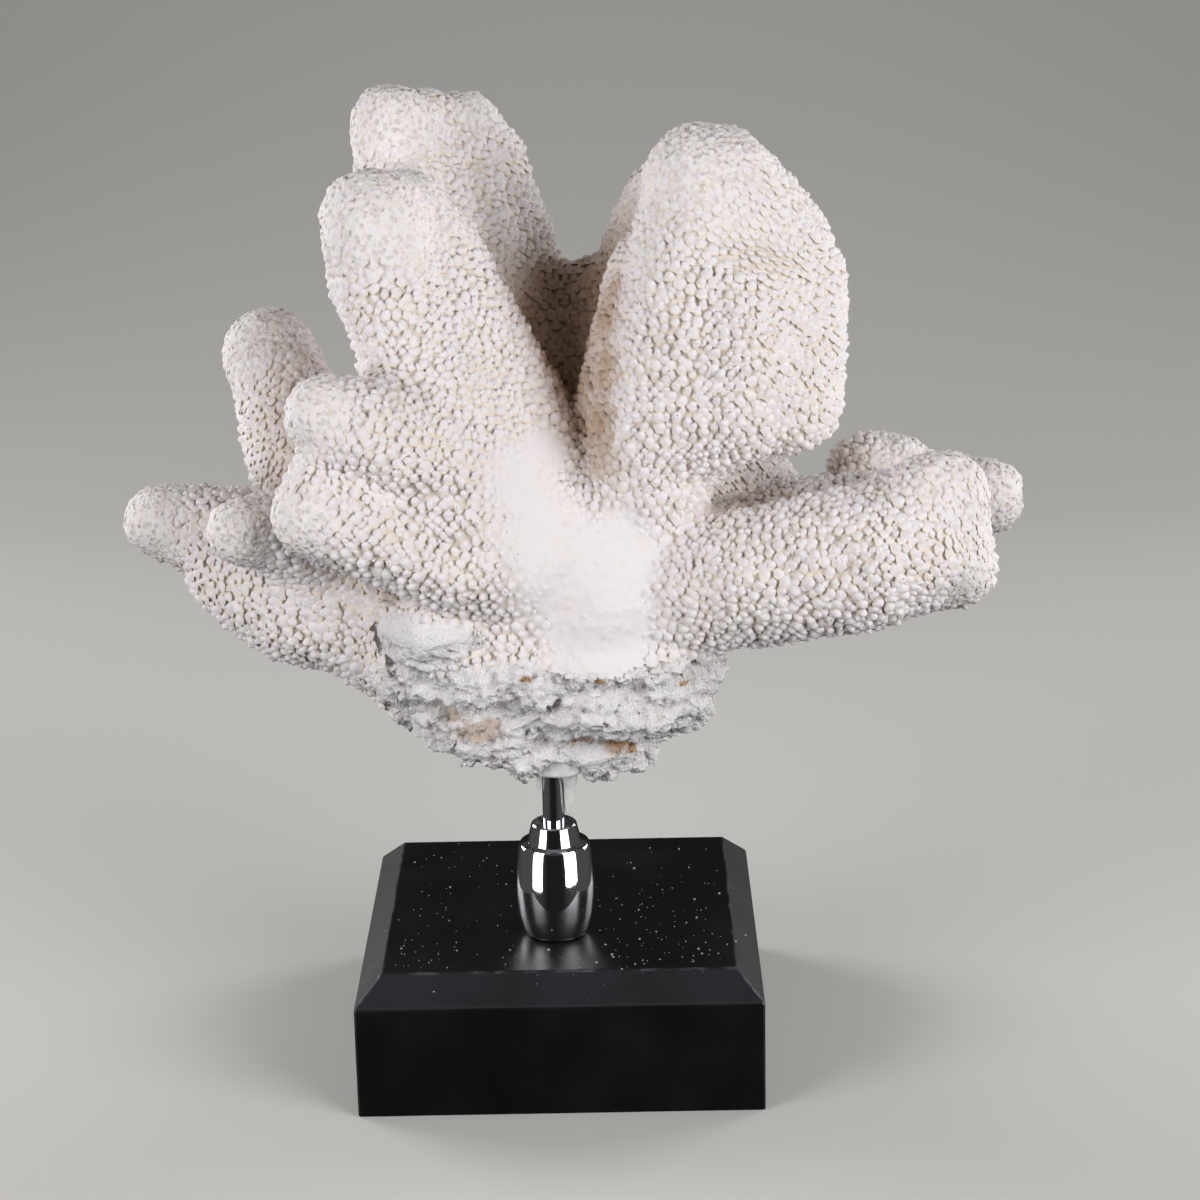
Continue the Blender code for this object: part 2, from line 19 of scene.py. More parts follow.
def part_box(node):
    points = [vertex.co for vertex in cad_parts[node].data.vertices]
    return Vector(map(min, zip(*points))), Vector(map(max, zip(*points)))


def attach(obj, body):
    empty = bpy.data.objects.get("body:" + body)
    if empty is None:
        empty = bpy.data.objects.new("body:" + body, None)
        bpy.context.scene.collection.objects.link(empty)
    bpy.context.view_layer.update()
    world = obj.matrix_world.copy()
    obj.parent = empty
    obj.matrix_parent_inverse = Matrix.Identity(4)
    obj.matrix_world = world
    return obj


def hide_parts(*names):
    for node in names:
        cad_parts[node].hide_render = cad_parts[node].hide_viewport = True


bl_info = {
    "name": "Cauliflower Coral on Stand",
    "version": (1, 0, 0),
    "blender": (4, 5, 0),
    "location": "3D View > Sidebar > Coral",
    "description": "Skins a coral skeleton with its cups and finishes its post, plinth and stage",
    "category": "Add Mesh",
}

# One millimetre in metres
MM = 0.001

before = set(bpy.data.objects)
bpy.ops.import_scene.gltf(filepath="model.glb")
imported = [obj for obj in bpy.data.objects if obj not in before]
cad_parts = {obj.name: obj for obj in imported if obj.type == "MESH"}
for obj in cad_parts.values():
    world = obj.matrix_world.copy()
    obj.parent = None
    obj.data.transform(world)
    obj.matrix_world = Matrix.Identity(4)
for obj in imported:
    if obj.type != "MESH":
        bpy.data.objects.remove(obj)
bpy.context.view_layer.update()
CORAL_NODES = sorted(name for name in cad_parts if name.startswith("coral_"))

# Photograph's camera, solved from the plinth's corners: place in millimetres, angles in degrees
CAMERA_PLACE = (19.26, -840.82, 395.71)
CAMERA_AZIMUTH = -0.365
CAMERA_DIP = 16.933
CAMERA_ROLL = -1.176
CAMERA_LENS = 87.84

# Paper sweep under and behind the object, in metres: its front edge, half its width, where it
# turns up, the radius and steps of the turn, and its top
SWEEP_FRONT = -6.0
SWEEP_HALF_WIDTH = 8.0
SWEEP_START = 0.6
SWEEP_RADIUS = 0.6
SWEEP_STEPS = 18
SWEEP_TOP = 6.0

# Soft boxes: name, place and size in metres, and share of the key power. All are aimed at the
# coral's middle, and cloth grids keep their light off the floor beside them (spread in degrees)
SOFT_BOXES = [
    ("left_box", (-0.88, -0.72, 0.27), (0.65, 1.17), 1.48),
    ("right_box", (0.86, -0.76, 0.33), (0.8, 1.24), 1.98),
    ("left_back_box", (-0.95, 0.6, 0.45), (0.6, 0.7), 0.9),
    ("right_back_box", (0.95, 0.6, 0.45), (0.6, 0.7), 0.6),
]
BOX_AIM = (0.0, 0.0, 0.16)
BOX_SPREAD = 110.0

# Even light: its colour, its strength low down, and what the far left and right add
SKY_COLOUR = (1.0, 0.985, 0.985)
LOW_LIGHT = 0.015
SIDE_GLOW = 0.07

# Middle of the coral that its branches grow away from
GROWTH_START = (6.0, -6.0, 128.0)

# Ends of the branches, where the cups are finest: x, y, z and radius in millimetres
BRANCH_ENDS = [
    (-45, 20, 280, 13), (-25, 42, 277, 12), (-48, -16, 257, 17), (-39, -4, 258, 14),
    (-87, 44, 208, 14), (-62, -46, 209, 12), (-68, -50, 180, 11), (-116, -4, 168, 12),
    (-88, -33, 172, 11), (47, -20, 267, 17), (64, -18, 253, 14), (36, 20, 256, 13),
    (112, -40, 180, 13), (114, -40, 162, 12), (133, 20, 165, 12), (104, 28, 171, 12),
    (64, 72, 152, 14), (58, 78, 152, 12), (2, 78, 188, 15), (18, 74, 177, 14),
    (-53, 76, 150, 14), (-34, 72, 156, 14),
]

# Worn places where the cups are all but flush: x, y, z and radius in millimetres
WORN_PLACES = [
    (0, -44, 172, 15), (-8, -40, 187, 11), (8, -46, 158, 18), (14, -47, 145, 18), (20, -42, 166, 13),
    (1, -33, 194, 8),
]

# Places where the cups are tall, and where they are low and run together: x, y, z and radius
TALL_PLACES = [
    (72, -52, 160, 24), (96, -54, 162, 16), (30, -44, 212, 22), (-34, -52, 180, 15), (-64, -26, 142, 22),
]
SOFT_PLACES = [
    (-40, 14, 274, 16), (-30, -6, 254, 12), (60, -36, 256, 18), (-20, -30, 214, 12), (118, -46, 176, 14),
]

# Tan stain and painted shade in the cleft between the two tall branches, laid on by lowering the
# open space there: x, y, z and radius in millimetres; its depth, and the width of its patches in
# millimetres
STAIN_AND_SHADE_PLACES = [
    (8, 17, 232, 13), (11, 8, 221, 15), (13, -2, 211, 15), (15, -14, 204, 14), (16, -30, 203, 9),
    (17, -28, 216, 10), (19, -22, 232, 11), (17, -34, 192, 7),
]
STAIN_AND_SHADE_DEPTH = 0.42
STAIN_AND_SHADE_PATCH = 7.0

# Names of the branches that aren't called by their node's own name
BRANCH_NAMES = {"coral_trunk": "trunk"}

# One skin over all solids: how far each grows to run into the next and the grid that joins them,
# in millimetres, and the steps that soften their facets
JOIN_GROWTH = 0.35
JOIN_VOXEL = 1.0
SMOOTH_STEPS = 12

# Fractal noise: how much weaker and how much finer each octave is
NOISE_FALL = 0.9
NOISE_STEP = 2.1

# How the cups are placed: least spacing of the large ones and of those that fill the gaps, as
# shares; patches of closer and of taller cups, as width in millimetres and strength; what soft
# places take off and tall places add; and how far worn cups sink, in millimetres
CUP_ROUNDS = (1.0, 0.75)
SPACING_PATCH = (18.0, 0.15)
HEIGHT_PATCH = (9.0, 0.5)
SOFT_LOWERING = 0.45
TALL_RISE = 0.2
WORN_SINKING = 0.3

# How the cups differ: shares of width and height; radius as a share of the spacing, and what an
# end adds; share that is open; and the lowest that is grown, and that is a finger and not a bud
CUP_WIDTHS = (0.74, 1.22)
CUP_HEIGHTS = (0.65, 1.3)
CUP_RADIUS = 0.45
END_RADIUS = 0.13
OPEN_CUPS = 0.35
MIN_CUP = 0.08
BUD_HEIGHT = 0.62

# One cup's rings from its root up: level, width where its top is closed, width where it is open
CUP_SIDES = 6
CUP_RINGS = [(-0.3, 1.7, 1.7), (0.3, 1.12, 1.12), (0.78, 0.84, 0.92), (1.0, 0.46, 0.68)]
BUD_RINGS = [(-0.3, 1.45, 1.45), (0.75, 0.75, 0.75)]

# One cup's shape: oval, uneven and bent, with a domed top or a sunken, open one. The shade painted
# in an open cup's pit is faint, darker or black, as shade and odds
CUP_OVAL = (0.95, 1.2)
CUP_UNEVEN = (0.9, 1.1)
CUP_BEND = 0.15
DOME_RISE = 1.12
OPEN_DEPTH = 0.4
PIT_SHADES = [0.45, 0.75, 1.0]
PIT_ODDS = [0.7, 0.22, 0.08]

# Skin between the cups: how far it sinks for each millimetre of cup; and the mound under a cup, as
# a share of its height up to a limit in millimetres, and as a share of its radius
SKIN_SINKING = 0.38
MOUND_RISE = 0.5
MOUND_LIMIT = 1.4
MOUND_REACH = 1.5

# Open space around the skin: points tested, rays from each, their start above the skin and their
# length in millimetres, and the tested points that each point takes its value from
OPEN_POINTS = 9000
OPEN_RAYS = 24
OPEN_START = 1.5
OPEN_REACH = 70.0
OPEN_NEIGHBOURS = 4

# Dead, broken foot: its top on the trunk, and the broken ledge on its left with its smooth face,
# as x, y, z and the three half sizes of flattened balls in millimetres
FOOT_TOP = 132.5
LEDGE = (-36, -38, 141, 19, 14, 10.5)
LEDGE_FACE = (-37, -44, 146, 17, 11, 7)

# Edges of the foot in millimetres: waves of its upper edge as height and length along x and y,
# where its left, right and back edges fade, and how far its back edge moves out further down
FOOT_WAVES = ((1.5, 7.0), (1.2, 5.0))
FOOT_LEFT = (-52.0, -48.0)
FOOT_RIGHT = (52.0, 56.0)
FOOT_BACK = (26.0, 32.0)
FOOT_BACK_SLOPE = 0.6

# Rock of the foot in millimetres: width of its swellings, facets, crumbs, pores and patches of
# pores, and height of a ledge; how far each stands out; and how deep all of it is set in
SWELLING_SIZE = 12.0
LEDGE_HEIGHT = 6.5
FACET_SIZE = 7.0
CRUMB_SIZE = 2.6
PORE_SIZE = 2.6
PORE_PATCH = 11.0
ROCK_RISE = {"swelling": 1.2, "ledge": 1.0, "crumb": 0.9, "facet": 2.8, "pore": -1.3}
ROCK_SINKING = 0.8

# Seed of the facets' tilts, which Blender otherwise takes from the clock
ROCK_SEED = 3

# The ledge's smooth face, and the filler that is wiped over the rock: how much of the rock's relief
# each takes off, and how far each stands out in millimetres
FACE_SMOOTHING = 0.8
FACE_RISE = 1.2
WIPED_SMOOTHING = 0.85
WIPED_RISE = 0.4

# Shares of dead coral up to which the living skin and the cups reach, and from which the foot does
LIVING_LIMIT = 0.4
CUP_LIMIT = 0.45
FOOT_LIMIT = 0.1

# Brown stains in the foot's pores and on its rim: x, y, z and the three half sizes in millimetres
PORE_STAINS = [
    (20, -32, 104, 10, 10, 4.8), (9, -36, 106.5, 8, 6, 1.8), (-22, -40, 113, 10, 8, 5),
    (-30, -40, 118, 5, 6, 4),
]
RIM_SPECKS = [
    (-7.5, -47, 130.8, 2.4, 6, 1.3), (13.5, -50, 130.8, 2.2, 6, 1.2), (39, -40, 126, 2, 6, 1.3),
]

# Filler wiped over the rock in front of the rod, the same way
WIPED_PLACE = (7, -33, 100.5, 14, 9, 6)

# Colours that no setting changes: shade painted in the pores of the ends and in the rare dark pits,
# the brown stains' pores with their holes painted dark as shade, thin filler, grey crumbs and bare
# edges of the paint; and the paint's roughness where it is cleanest
END_PORE_SHADE_COLOUR = "#DBD3D0"
PIT_SHADE_COLOUR = "#4A4036"
BROWN_COMB_SHADE_COLOUR = "#6E5138"
THIN_FILLER_COLOUR = "#CBC9C7"
GREY_CRUMB_COLOUR = "#77787C"
BARE_EDGE_COLOUR = "#565A60"
PAINT_ROUGHNESS = 0.26

# Width in metres of the rubbed line along the plinth's upper edge and at its chamfer's corners
RUBBED_WIDTH = 0.0005

# Filler: how far it grows and how uneven it is, in millimetres, and the steps that soften it
FILLER_GROWTH = 0.1
FILLER_LUMPS = 0.25
FILLER_LUMP_SIZE = 3.0
FILLER_STEPS = 6

# Plinth's top face, where crumbs stop on its chamfer, and the post that they lie clear of, in
# millimetres from the plinth's middle
EDGE_OF_TOP = 52.0
CRUMB_EDGE = 57.0
POST_CENTRE = (-1.1, -22.7)
POST_CLEARANCE = 13.0

# Crumbs: how many, the start of their draws, how far half of them are strewn, and where the others
# have drifted to as x, y and spread in millimetres
CRUMB_COUNT = 260
CRUMB_SEED = 11
CRUMB_REACH = 50.0
CRUMB_DRIFTS = [
    (24, -14, 10), (40, -38, 10), (-40, -34, 9), (18, -50, 9), (-14, -50, 14), (36, 10, 14),
]

# One crumb: least radius, what chance adds and what it adds to a rare large one, in millimetres;
# the power that makes large ones rare; flatness, unevenness, and height of its middle in radii
CRUMB_RADIUS = 0.1
CRUMB_SPREAD = 0.14
LARGE_CRUMB = 0.35
CRUMB_RARITY = 8
CRUMB_FLATNESS = 0.6
CRUMB_UNEVEN = (0.7, 1.25)
CRUMB_LIFT = 0.35

# Turned chrome: the rod's edge in millimetres, and the angle from which an edge is sharp, degrees
ROD_EDGE = 0.5
SHARP_ANGLE = 28.0

# Turned chrome ferrule: radius and height above the plinth from its top edge down
FERRULE_PROFILE = [
    (6.4, 35.0), (6.8, 34.6), (7.9, 29.9), (8.1, 29.2), (9.7, 29.0), (10.3, 28.7), (10.7, 28.0),
    (11.4, 23.5), (12.0, 16.5), (12.0, 13.0), (11.5, 7.0), (10.5, 2.2), (9.7, 0.5), (9.2, 0.0),
]


def linear(code):
    """Linear red, green and blue of an sRGB hex colour."""
    values = [int(code[i:i + 2], 16) / 255 for i in (1, 3, 5)]
    return [v / 12.92 if v <= 0.04045 else ((v + 0.055) / 1.055) ** 2.4 for v in values]


def rgba(colour):
    """A colour setting with full alpha."""
    return (*colour, 1.0)


class CoralSettings(bpy.types.PropertyGroup):
    """Sizes and colours of the coral."""

    voxel: FloatProperty(name="Skin voxel", description="Grid of the skin, mm", default=1.5, min=0.5)
    foot_voxel: FloatProperty(
        name="Foot voxel", description="Grid of the dead foot, mm", default=0.85, min=0.4
    )
    cup_spacing: FloatProperty(
        name="Cup spacing", description="Closest cups on a flank, mm", default=2.45
    )
    end_spacing: FloatProperty(
        name="End spacing", description="Closest cups on an end, mm", default=2.0
    )
    cup_height: FloatProperty(name="Cup height", description="Cups on a flank, mm", default=1.4)
    end_height: FloatProperty(name="End height", description="Cups on a branch's end, mm", default=0.35)
    worn_height: FloatProperty(name="Worn height", description="Cups on the worn trunk, mm", default=0.2)
    lean: FloatProperty(
        name="Lean", description="Lean of a cup towards its branch's end", default=math.radians(32),
        subtype="ANGLE", unit="ROTATION",
    )
    seed: IntProperty(name="Seed", description="Start of the cups' places and sizes", default=7)
    white: FloatVectorProperty(
        name="White", description="Bleached top of a cup", subtype="COLOR", default=linear("#EEE8EA")
    )
    # Cream is painted between the cups as their warm shade, and also mottles the coral at random
    cream_and_gap_shade: FloatVectorProperty(
        name="Cream", description="Between the cups", subtype="COLOR", default=linear("#ECE0D3")
    )
    # Tan painted where little open space is seen: shade deep between branches, and the cleft's stain
    tan: FloatVectorProperty(
        name="Tan", description="Deep between branches", subtype="COLOR", default=linear("#B59C86")
    )
    chalk: FloatVectorProperty(
        name="Chalk", description="Dead foot", subtype="COLOR", default=linear("#F4F1F2")
    )
    # Grey painted as shade in the dead foot's hollows, and as its dull grain at random
    grime: FloatVectorProperty(
        name="Grain and hollow shade", description="Hollows of the dead foot", subtype="COLOR", default=linear("#D0C9C4")
    )
    stain: FloatVectorProperty(
        name="Stain", description="Brown pores of the foot", subtype="COLOR", default=linear("#C29F78")
    )


class StandSettings(bpy.types.PropertyGroup):
    """Sizes and colours of the post, its filler and the plinth."""

    round_sides: IntProperty(name="Sides", description="Sides of a turned piece", default=128, min=24)
    filler_voxel: FloatProperty(name="Filler voxel", description="Grid of the filler, mm", default=0.4)
    chrome: FloatVectorProperty(
        name="Chrome", description="Polished plating", subtype="COLOR", default=linear("#DADADF")
    )
    paint: FloatVectorProperty(
        name="Paint", description="Satin black paint", subtype="COLOR", default=linear("#0E0E10")
    )
    # Blue-grey of the handled chamfer: partly wear, partly painted sheen
    worn: FloatVectorProperty(
        name="Worn paint and sheen", description="Handled chamfer", subtype="COLOR", default=linear("#0C1118")
    )
    dust: FloatVectorProperty(
        name="Dust", description="Coral dust on the paint", subtype="COLOR", default=linear("#CFCDC8")
    )
    filler: FloatVectorProperty(
        name="Filler", description="White filler", subtype="COLOR", default=linear("#ECEAE9")
    )


class StageSettings(bpy.types.PropertyGroup):
    """Floor and light."""

    floor: FloatVectorProperty(
        name="Floor", description="Pale floor", subtype="COLOR", default=linear("#DEDCD8")
    )
    key_power: FloatProperty(name="Key", description="Power of the soft boxes, W", default=3.2)
    sky: FloatProperty(name="Sky", description="Strength of the even light from above", default=0.17)


def add_node(tree, kind, inputs=None, **settings):
    """Adds a node with its settings; an input is given a value or is linked to a socket."""
    added = tree.nodes.new(kind)
    for name, value in settings.items():
        setattr(added, name, value)
    for name, value in (inputs or {}).items():
        if isinstance(value, bpy.types.NodeSocket):
            tree.links.new(value, added.inputs[name])
        else:
            added.inputs[name].default_value = value
    return added


def new_material(name):
    """An empty material, its node tree and its output's surface socket."""
    material = bpy.data.materials.new(name)
    material.use_nodes = True
    material.node_tree.nodes.clear()
    output = material.node_tree.nodes.new("ShaderNodeOutputMaterial")
    return material, material.node_tree, output.inputs["Surface"]


def smooth_step(value, start, end):
    """Zero below start, one above end and a soft rise between."""
    share = np.clip((value - start) / (end - start), 0.0, 1.0)
    return share * share * (3.0 - 2.0 * share)


def near_places(points, places, inner, outer):
    """One within inner radii of any place, zero beyond outer radii of all of them."""
    share = np.zeros(len(points))
    for x, y, z, radius in places:
        distance = np.linalg.norm(points - np.array([x, y, z]), axis=1) / radius
        share = np.maximum(share, 1.0 - smooth_step(distance, inner, outer))
    return share


def in_ellipsoids(points, places, inner, outer):
    """One within inner sizes of any flattened ball, zero beyond outer sizes of all of them."""
    share = np.zeros(len(points))
    for place in places:
        distance = np.linalg.norm((points - np.array(place[:3])) / np.array(place[3:]), axis=1)
        share = np.maximum(share, 1.0 - smooth_step(distance, inner, outer))
    return share


def noise_at(points, size, octaves):
    """Fractal noise, about -1 to 1, whose largest features are as wide as size."""
    scaled = points / size
    return np.array([noise.fractal(p, NOISE_FALL, NOISE_STEP, octaves) for p in scaled.tolist()])


def mesh_arrays(mesh):
    """Points in millimetres, unit normals and edges of a mesh."""
    count = len(mesh.vertices)
    points = np.empty(count * 3, np.float32)
    mesh.vertices.foreach_get("co", points)
    normals = np.empty(count * 3, np.float32)
    mesh.vertex_normals.foreach_get("vector", normals)
    edges = np.empty(len(mesh.edges) * 2, np.int32)
    mesh.edges.foreach_get("vertices", edges)
    return points.reshape(-1, 3) / MM, normals.reshape(-1, 3).astype(float), edges.reshape(-1, 2)


def set_points(mesh, points):
    """Moves a mesh's points to places given in millimetres."""
    mesh.vertices.foreach_set("co", (points * MM).astype(np.float32).ravel())
    mesh.update()


def relaxed(points, edges, steps, share):
    """Points evened out along the skin, each by its share."""
    count = len(points)
    links = np.bincount(edges.ravel(), minlength=count)[:, None]
    for _ in range(steps):
        total = np.zeros_like(points)
        for axis in range(3):
            total[:, axis] = np.bincount(edges[:, 0], points[edges[:, 1], axis], count)
            total[:, axis] += np.bincount(edges[:, 1], points[edges[:, 0], axis], count)
        points = points + (total / np.maximum(links, 1) - points) * (0.5 * share[:, None])
    return points


def new_object(name, mesh):
    """Links a mesh into the scene as an object."""
    item = bpy.data.objects.new(name, mesh)
    bpy.context.scene.collection.objects.link(item)
    return item


def remeshed(item, voxel):
    """Skins an object's mesh anew on an even grid."""
    step = item.modifiers.new("skin", "REMESH")
    step.mode = "VOXEL"
    step.voxel_size = voxel * MM
    depsgraph = bpy.context.evaluated_depsgraph_get()
    mesh = bpy.data.meshes.new_from_object(item.evaluated_get(depsgraph))
    item.modifiers.clear()
    old = item.data
    item.data = mesh
    bpy.data.meshes.remove(old)


def joined_solids(names, growth):
    """One object of several CAD solids, each grown a little so that they run into each other."""
    bm = bmesh.new()
    for name in names:
        part = bmesh.new()
        part.from_mesh(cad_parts[name].data)
        bmesh.ops.remove_doubles(part, verts=part.verts, dist=0.001 * MM)
        part.normal_update()
        for vert in part.verts:
            vert.co += vert.normal * (growth * MM)
        mesh = bpy.data.meshes.new(name)
        part.to_mesh(mesh)
        part.free()
        bm.from_mesh(mesh)
        bpy.data.meshes.remove(mesh)
    mesh = bpy.data.meshes.new("joined")
    bm.to_mesh(mesh)
    bm.free()
    return new_object("joined", mesh)


def dead_share(points):
    """One on the dead foot and its broken ledge, zero on the living coral."""
    x, y, z = points.T
    (height_x, length_x), (height_y, length_y) = FOOT_WAVES
    edge = height_x * np.sin(x / length_x) + height_y * np.sin(y / length_y + 1.0)
    foot = 1.0 - smooth_step(z + edge, FOOT_TOP - 1.0, FOOT_TOP + 1.0)
    sides = smooth_step(x, *FOOT_LEFT) * (1.0 - smooth_step(x, *FOOT_RIGHT))
    back = 1.0 - smooth_step(y - FOOT_BACK_SLOPE * (FOOT_TOP - z), *FOOT_BACK)
    return np.maximum(foot * sides * back, in_ellipsoids(points, [LEDGE], 0.85, 1.0))


def chosen_cups(tree, points, spacing, random):
    """Points to grow a cup on, and the room that each has as a share of the spacing there.

    The first cups stand no nearer to each other than the spacing. Smaller ones fill the gaps.
    """
    chosen = []
    room = []
    gap = np.full(len(points), np.inf)
    for share in CUP_ROUNDS:
        taken = (spacing <= 0) | (gap < share * spacing)
        for index in random.permutation(len(points)).tolist():
            if taken[index]:
                continue
            chosen.append(index)
            room.append(share)
            for _, near, _ in tree.find_range(points[index], share * spacing[index]):
                taken[near] = True
        _, gap = nearest(point_tree(points[chosen]), points)
    return np.array(chosen), np.array(room)


def point_tree(points):
    """Search tree over points."""
    tree = kdtree.KDTree(len(points))
    for index, point in enumerate(points.tolist()):
        tree.insert(point, index)
    tree.balance()
    return tree


def nearest(tree, points):
    """Index of and distance to the nearest point in a tree, for each point."""
    found = [tree.find(p) for p in points.tolist()]
    return np.array([f[1] for f in found]), np.array([f[2] for f in found])


def open_share(item, points, normals, random):
    """How much open space each point sees, from 0 deep in a cleft to 1 in the open."""
    surface = BVHTree.FromObject(item, bpy.context.evaluated_depsgraph_get())
    samples = random.choice(len(points), OPEN_POINTS, replace=False)
    seen = np.zeros(len(samples))
    rays = random.normal(size=(OPEN_RAYS, 3))
    rays /= np.linalg.norm(rays, axis=1, keepdims=True)
    for row, index in enumerate(samples):
        normal = normals[index]
        start = Vector((points[index] + normal * OPEN_START) * MM)
        free = 0
        for ray in rays:
            way = ray if ray @ normal > 0 else -ray
            free += surface.ray_cast(start, Vector(way), OPEN_REACH * MM)[0] is None
        seen[row] = free / len(rays)
    tree = point_tree(points[samples])
    share = np.empty(len(points))
    for index, point in enumerate(points.tolist()):
        found = tree.find_n(point, OPEN_NEIGHBOURS)
        weights = [1.0 / (f[2] + 0.5) for f in found]
        share[index] = sum(w * seen[f[1]] for w, f in zip(weights, found)) / sum(weights)
    return share


def growth_way(points, normals, lean):
    """Direction that a cup grows in: out of the skin, leaning away from the coral's middle."""
    away = points - np.array(GROWTH_START)
    along = away - normals * np.sum(away * normals, axis=1, keepdims=True)
    along /= np.maximum(np.linalg.norm(along, axis=1, keepdims=True), 1.0)
    return normals * np.cos(lean)[:, None] + along * np.sin(lean)[:, None]


def cup_plan(settings, points, normals, dead, random):
    """Places, sizes and directions of the cups; and the cups' height, ends and wear all over."""
    ends = near_places(points, BRANCH_ENDS, 0.75, 1.55)
    worn = near_places(points, WORN_PLACES, 0.35, 1.6)
    height = settings.cup_height + (settings.end_height - settings.cup_height) * ends
    height += (settings.worn_height - height) * worn
    height *= (1.0 - dead) * (1.0 - SOFT_LOWERING * near_places(points, SOFT_PLACES, 0.4, 1.4))
    height *= 1.0 + TALL_RISE * near_places(points, TALL_PLACES, 0.4, 1.5)
    size, strength = SPACING_PATCH
    spacing = settings.cup_spacing + (settings.end_spacing - settings.cup_spacing) * ends
    spacing *= 1.0 + strength * noise_at(points, size, 1)
    spacing = np.where(dead > 0.5, 0.0, spacing)
    rows, room = chosen_cups(point_tree(points), points, spacing, random)
    size, strength = HEIGHT_PATCH
    patch = 1.0 + strength * noise_at(points[rows], size, 2)
    width = random.uniform(*CUP_WIDTHS, len(rows)) * room
    flank = (1.0 - np.maximum(ends, worn))[rows]
    plan = {
        "rows": rows,
        "height": height[rows] * patch * random.uniform(*CUP_HEIGHTS, len(rows)) * room,
        "radius": (CUP_RADIUS + END_RADIUS * ends[rows]) * spacing[rows] * width,
        "sunk": WORN_SINKING * worn[rows],
        "out": normals[rows],
        "way": growth_way(points[rows], normals[rows], settings.lean * flank),
        "open": random.random(len(rows)) < OPEN_CUPS * flank,
    }
    return plan, height, ends, worn


def cup_skin(points, normals, height, plan):
    """Skin sunk by the cups' height, with a low mound under each cup, and how near a cup it is."""
    rows = plan["rows"]
    owner, distance = nearest(point_tree(points[rows]), points)
    share = np.clip(distance / (MOUND_REACH * plan["radius"][owner]), 0.0, 1.0)
    mound = MOUND_RISE * np.minimum(plan["height"][owner], MOUND_LIMIT) * np.sqrt(1.0 - share ** 2)
    moved = points + normals * (mound - SKIN_SINKING * height)[:, None]
    return moved, 1.0 - share


def cup_mesh(name, bases, plan, keep, random, shape):
    """Many cups in one mesh: round fingers, some of them with an open, sunken top, or low buds.

    Gives the mesh, how near a cup's top each point is, the shade painted in its pit, and points per cup.
    """
    bases = bases[keep] - plan["out"][keep] * plan["sunk"][keep][:, None]
    way = plan["way"][keep]
    height = plan["height"][keep]
    radius = plan["radius"][keep]
    opened = plan["open"][keep]
    count = len(bases)
    side = np.cross(way, random.normal(size=(count, 3)))
    side /= np.linalg.norm(side, axis=1, keepdims=True)
    other = np.cross(way, side)
    side *= random.uniform(*CUP_OVAL, (count, 1))
    turn = np.arange(CUP_SIDES) * math.tau / CUP_SIDES
    spokes = side[:, None] * np.cos(turn)[None, :, None] + other[:, None] * np.sin(turn)[None, :, None]
    wobble = random.uniform(*CUP_UNEVEN, (count, CUP_SIDES))
    bend = CUP_BEND * random.normal(size=(count, 3))
    rings = []
    for level, closed_width, open_width in shape:
        width = np.where(opened, open_width, closed_width) * radius
        middle = bases + way * (level * height)[:, None] + bend * level
        rings.append(middle[:, None] + spokes * (width[:, None] * wobble)[:, :, None])
    rise = np.where(opened, 1.0 - OPEN_DEPTH / np.maximum(height, 2.0 * OPEN_DEPTH), DOME_RISE)
    tops = bases + way * (rise * height)[:, None] + bend
    stride = CUP_SIDES * len(shape) + 1
    whole = np.concatenate([np.stack(rings, 1).reshape(count, -1, 3), tops[:, None]], 1)
    quads = []
    for ring in range(len(shape) - 1):
        for corner in range(CUP_SIDES):
            after = (corner + 1) % CUP_SIDES
            low = ring * CUP_SIDES
            high = low + CUP_SIDES
            quads.append((low + corner, low + after, high + after, high + corner))
    low = (len(shape) - 1) * CUP_SIDES
    caps = [(low + i, low + (i + 1) % CUP_SIDES, stride - 1) for i in range(CUP_SIDES)]
    steps = (np.arange(count) * stride)[:, None, None]
    quad_corners = (np.array(quads)[None] + steps).reshape(-1)
    cap_corners = (np.array(caps)[None] + steps).reshape(-1)
    sizes = [4] * (len(quads) * count) + [3] * (len(caps) * count)
    starts = np.concatenate([[0], np.cumsum(sizes)[:-1]])
    mesh = bpy.data.meshes.new(name)
    mesh.vertices.add(count * stride)
    mesh.vertices.foreach_set("co", (whole * MM).astype(np.float32).ravel())
    corners = np.concatenate([quad_corners, cap_corners]).astype(np.int32)
    mesh.loops.add(len(corners))
    mesh.loops.foreach_set("vertex_index", corners)
    mesh.polygons.add(len(sizes))
    mesh.polygons.foreach_set("loop_start", starts.astype(np.int32))
    mesh.update(calc_edges=True)
    mesh.shade_smooth()
    levels = np.repeat([ring[0] for ring in shape], CUP_SIDES)
    # Cups shade into the skin towards their roots, so that they run together softly
    own = np.append(np.clip(0.25 + 0.6 * levels, 0.0, 1.0), 0.9)[None, :, None]
    facing = np.empty(count * stride * 3, np.float32)
    mesh.vertex_normals.foreach_get("vector", facing)
    facing = own * facing.reshape(count, stride, 3) + (1.0 - own) * plan["out"][keep][:, None]
    facing /= np.linalg.norm(facing, axis=2, keepdims=True)
    mesh.normals_split_custom_set_from_vertices(facing.reshape(-1, 3).tolist())
    # Nearness to a cup's top: towards its root, cream is painted as the shade between the cups
    top = np.tile(np.append(np.clip(0.3 + levels, 0.0, 1.0), 1.0), (count, 1))
    pit = np.zeros((count, stride))
    # Each open cup's pit is painted dark as its shade: faint, darker or black by chance
    pit[:, -1] = opened * random.choice(PIT_SHADES, count, p=PIT_ODDS)
    return mesh, top.ravel(), pit.ravel(), stride


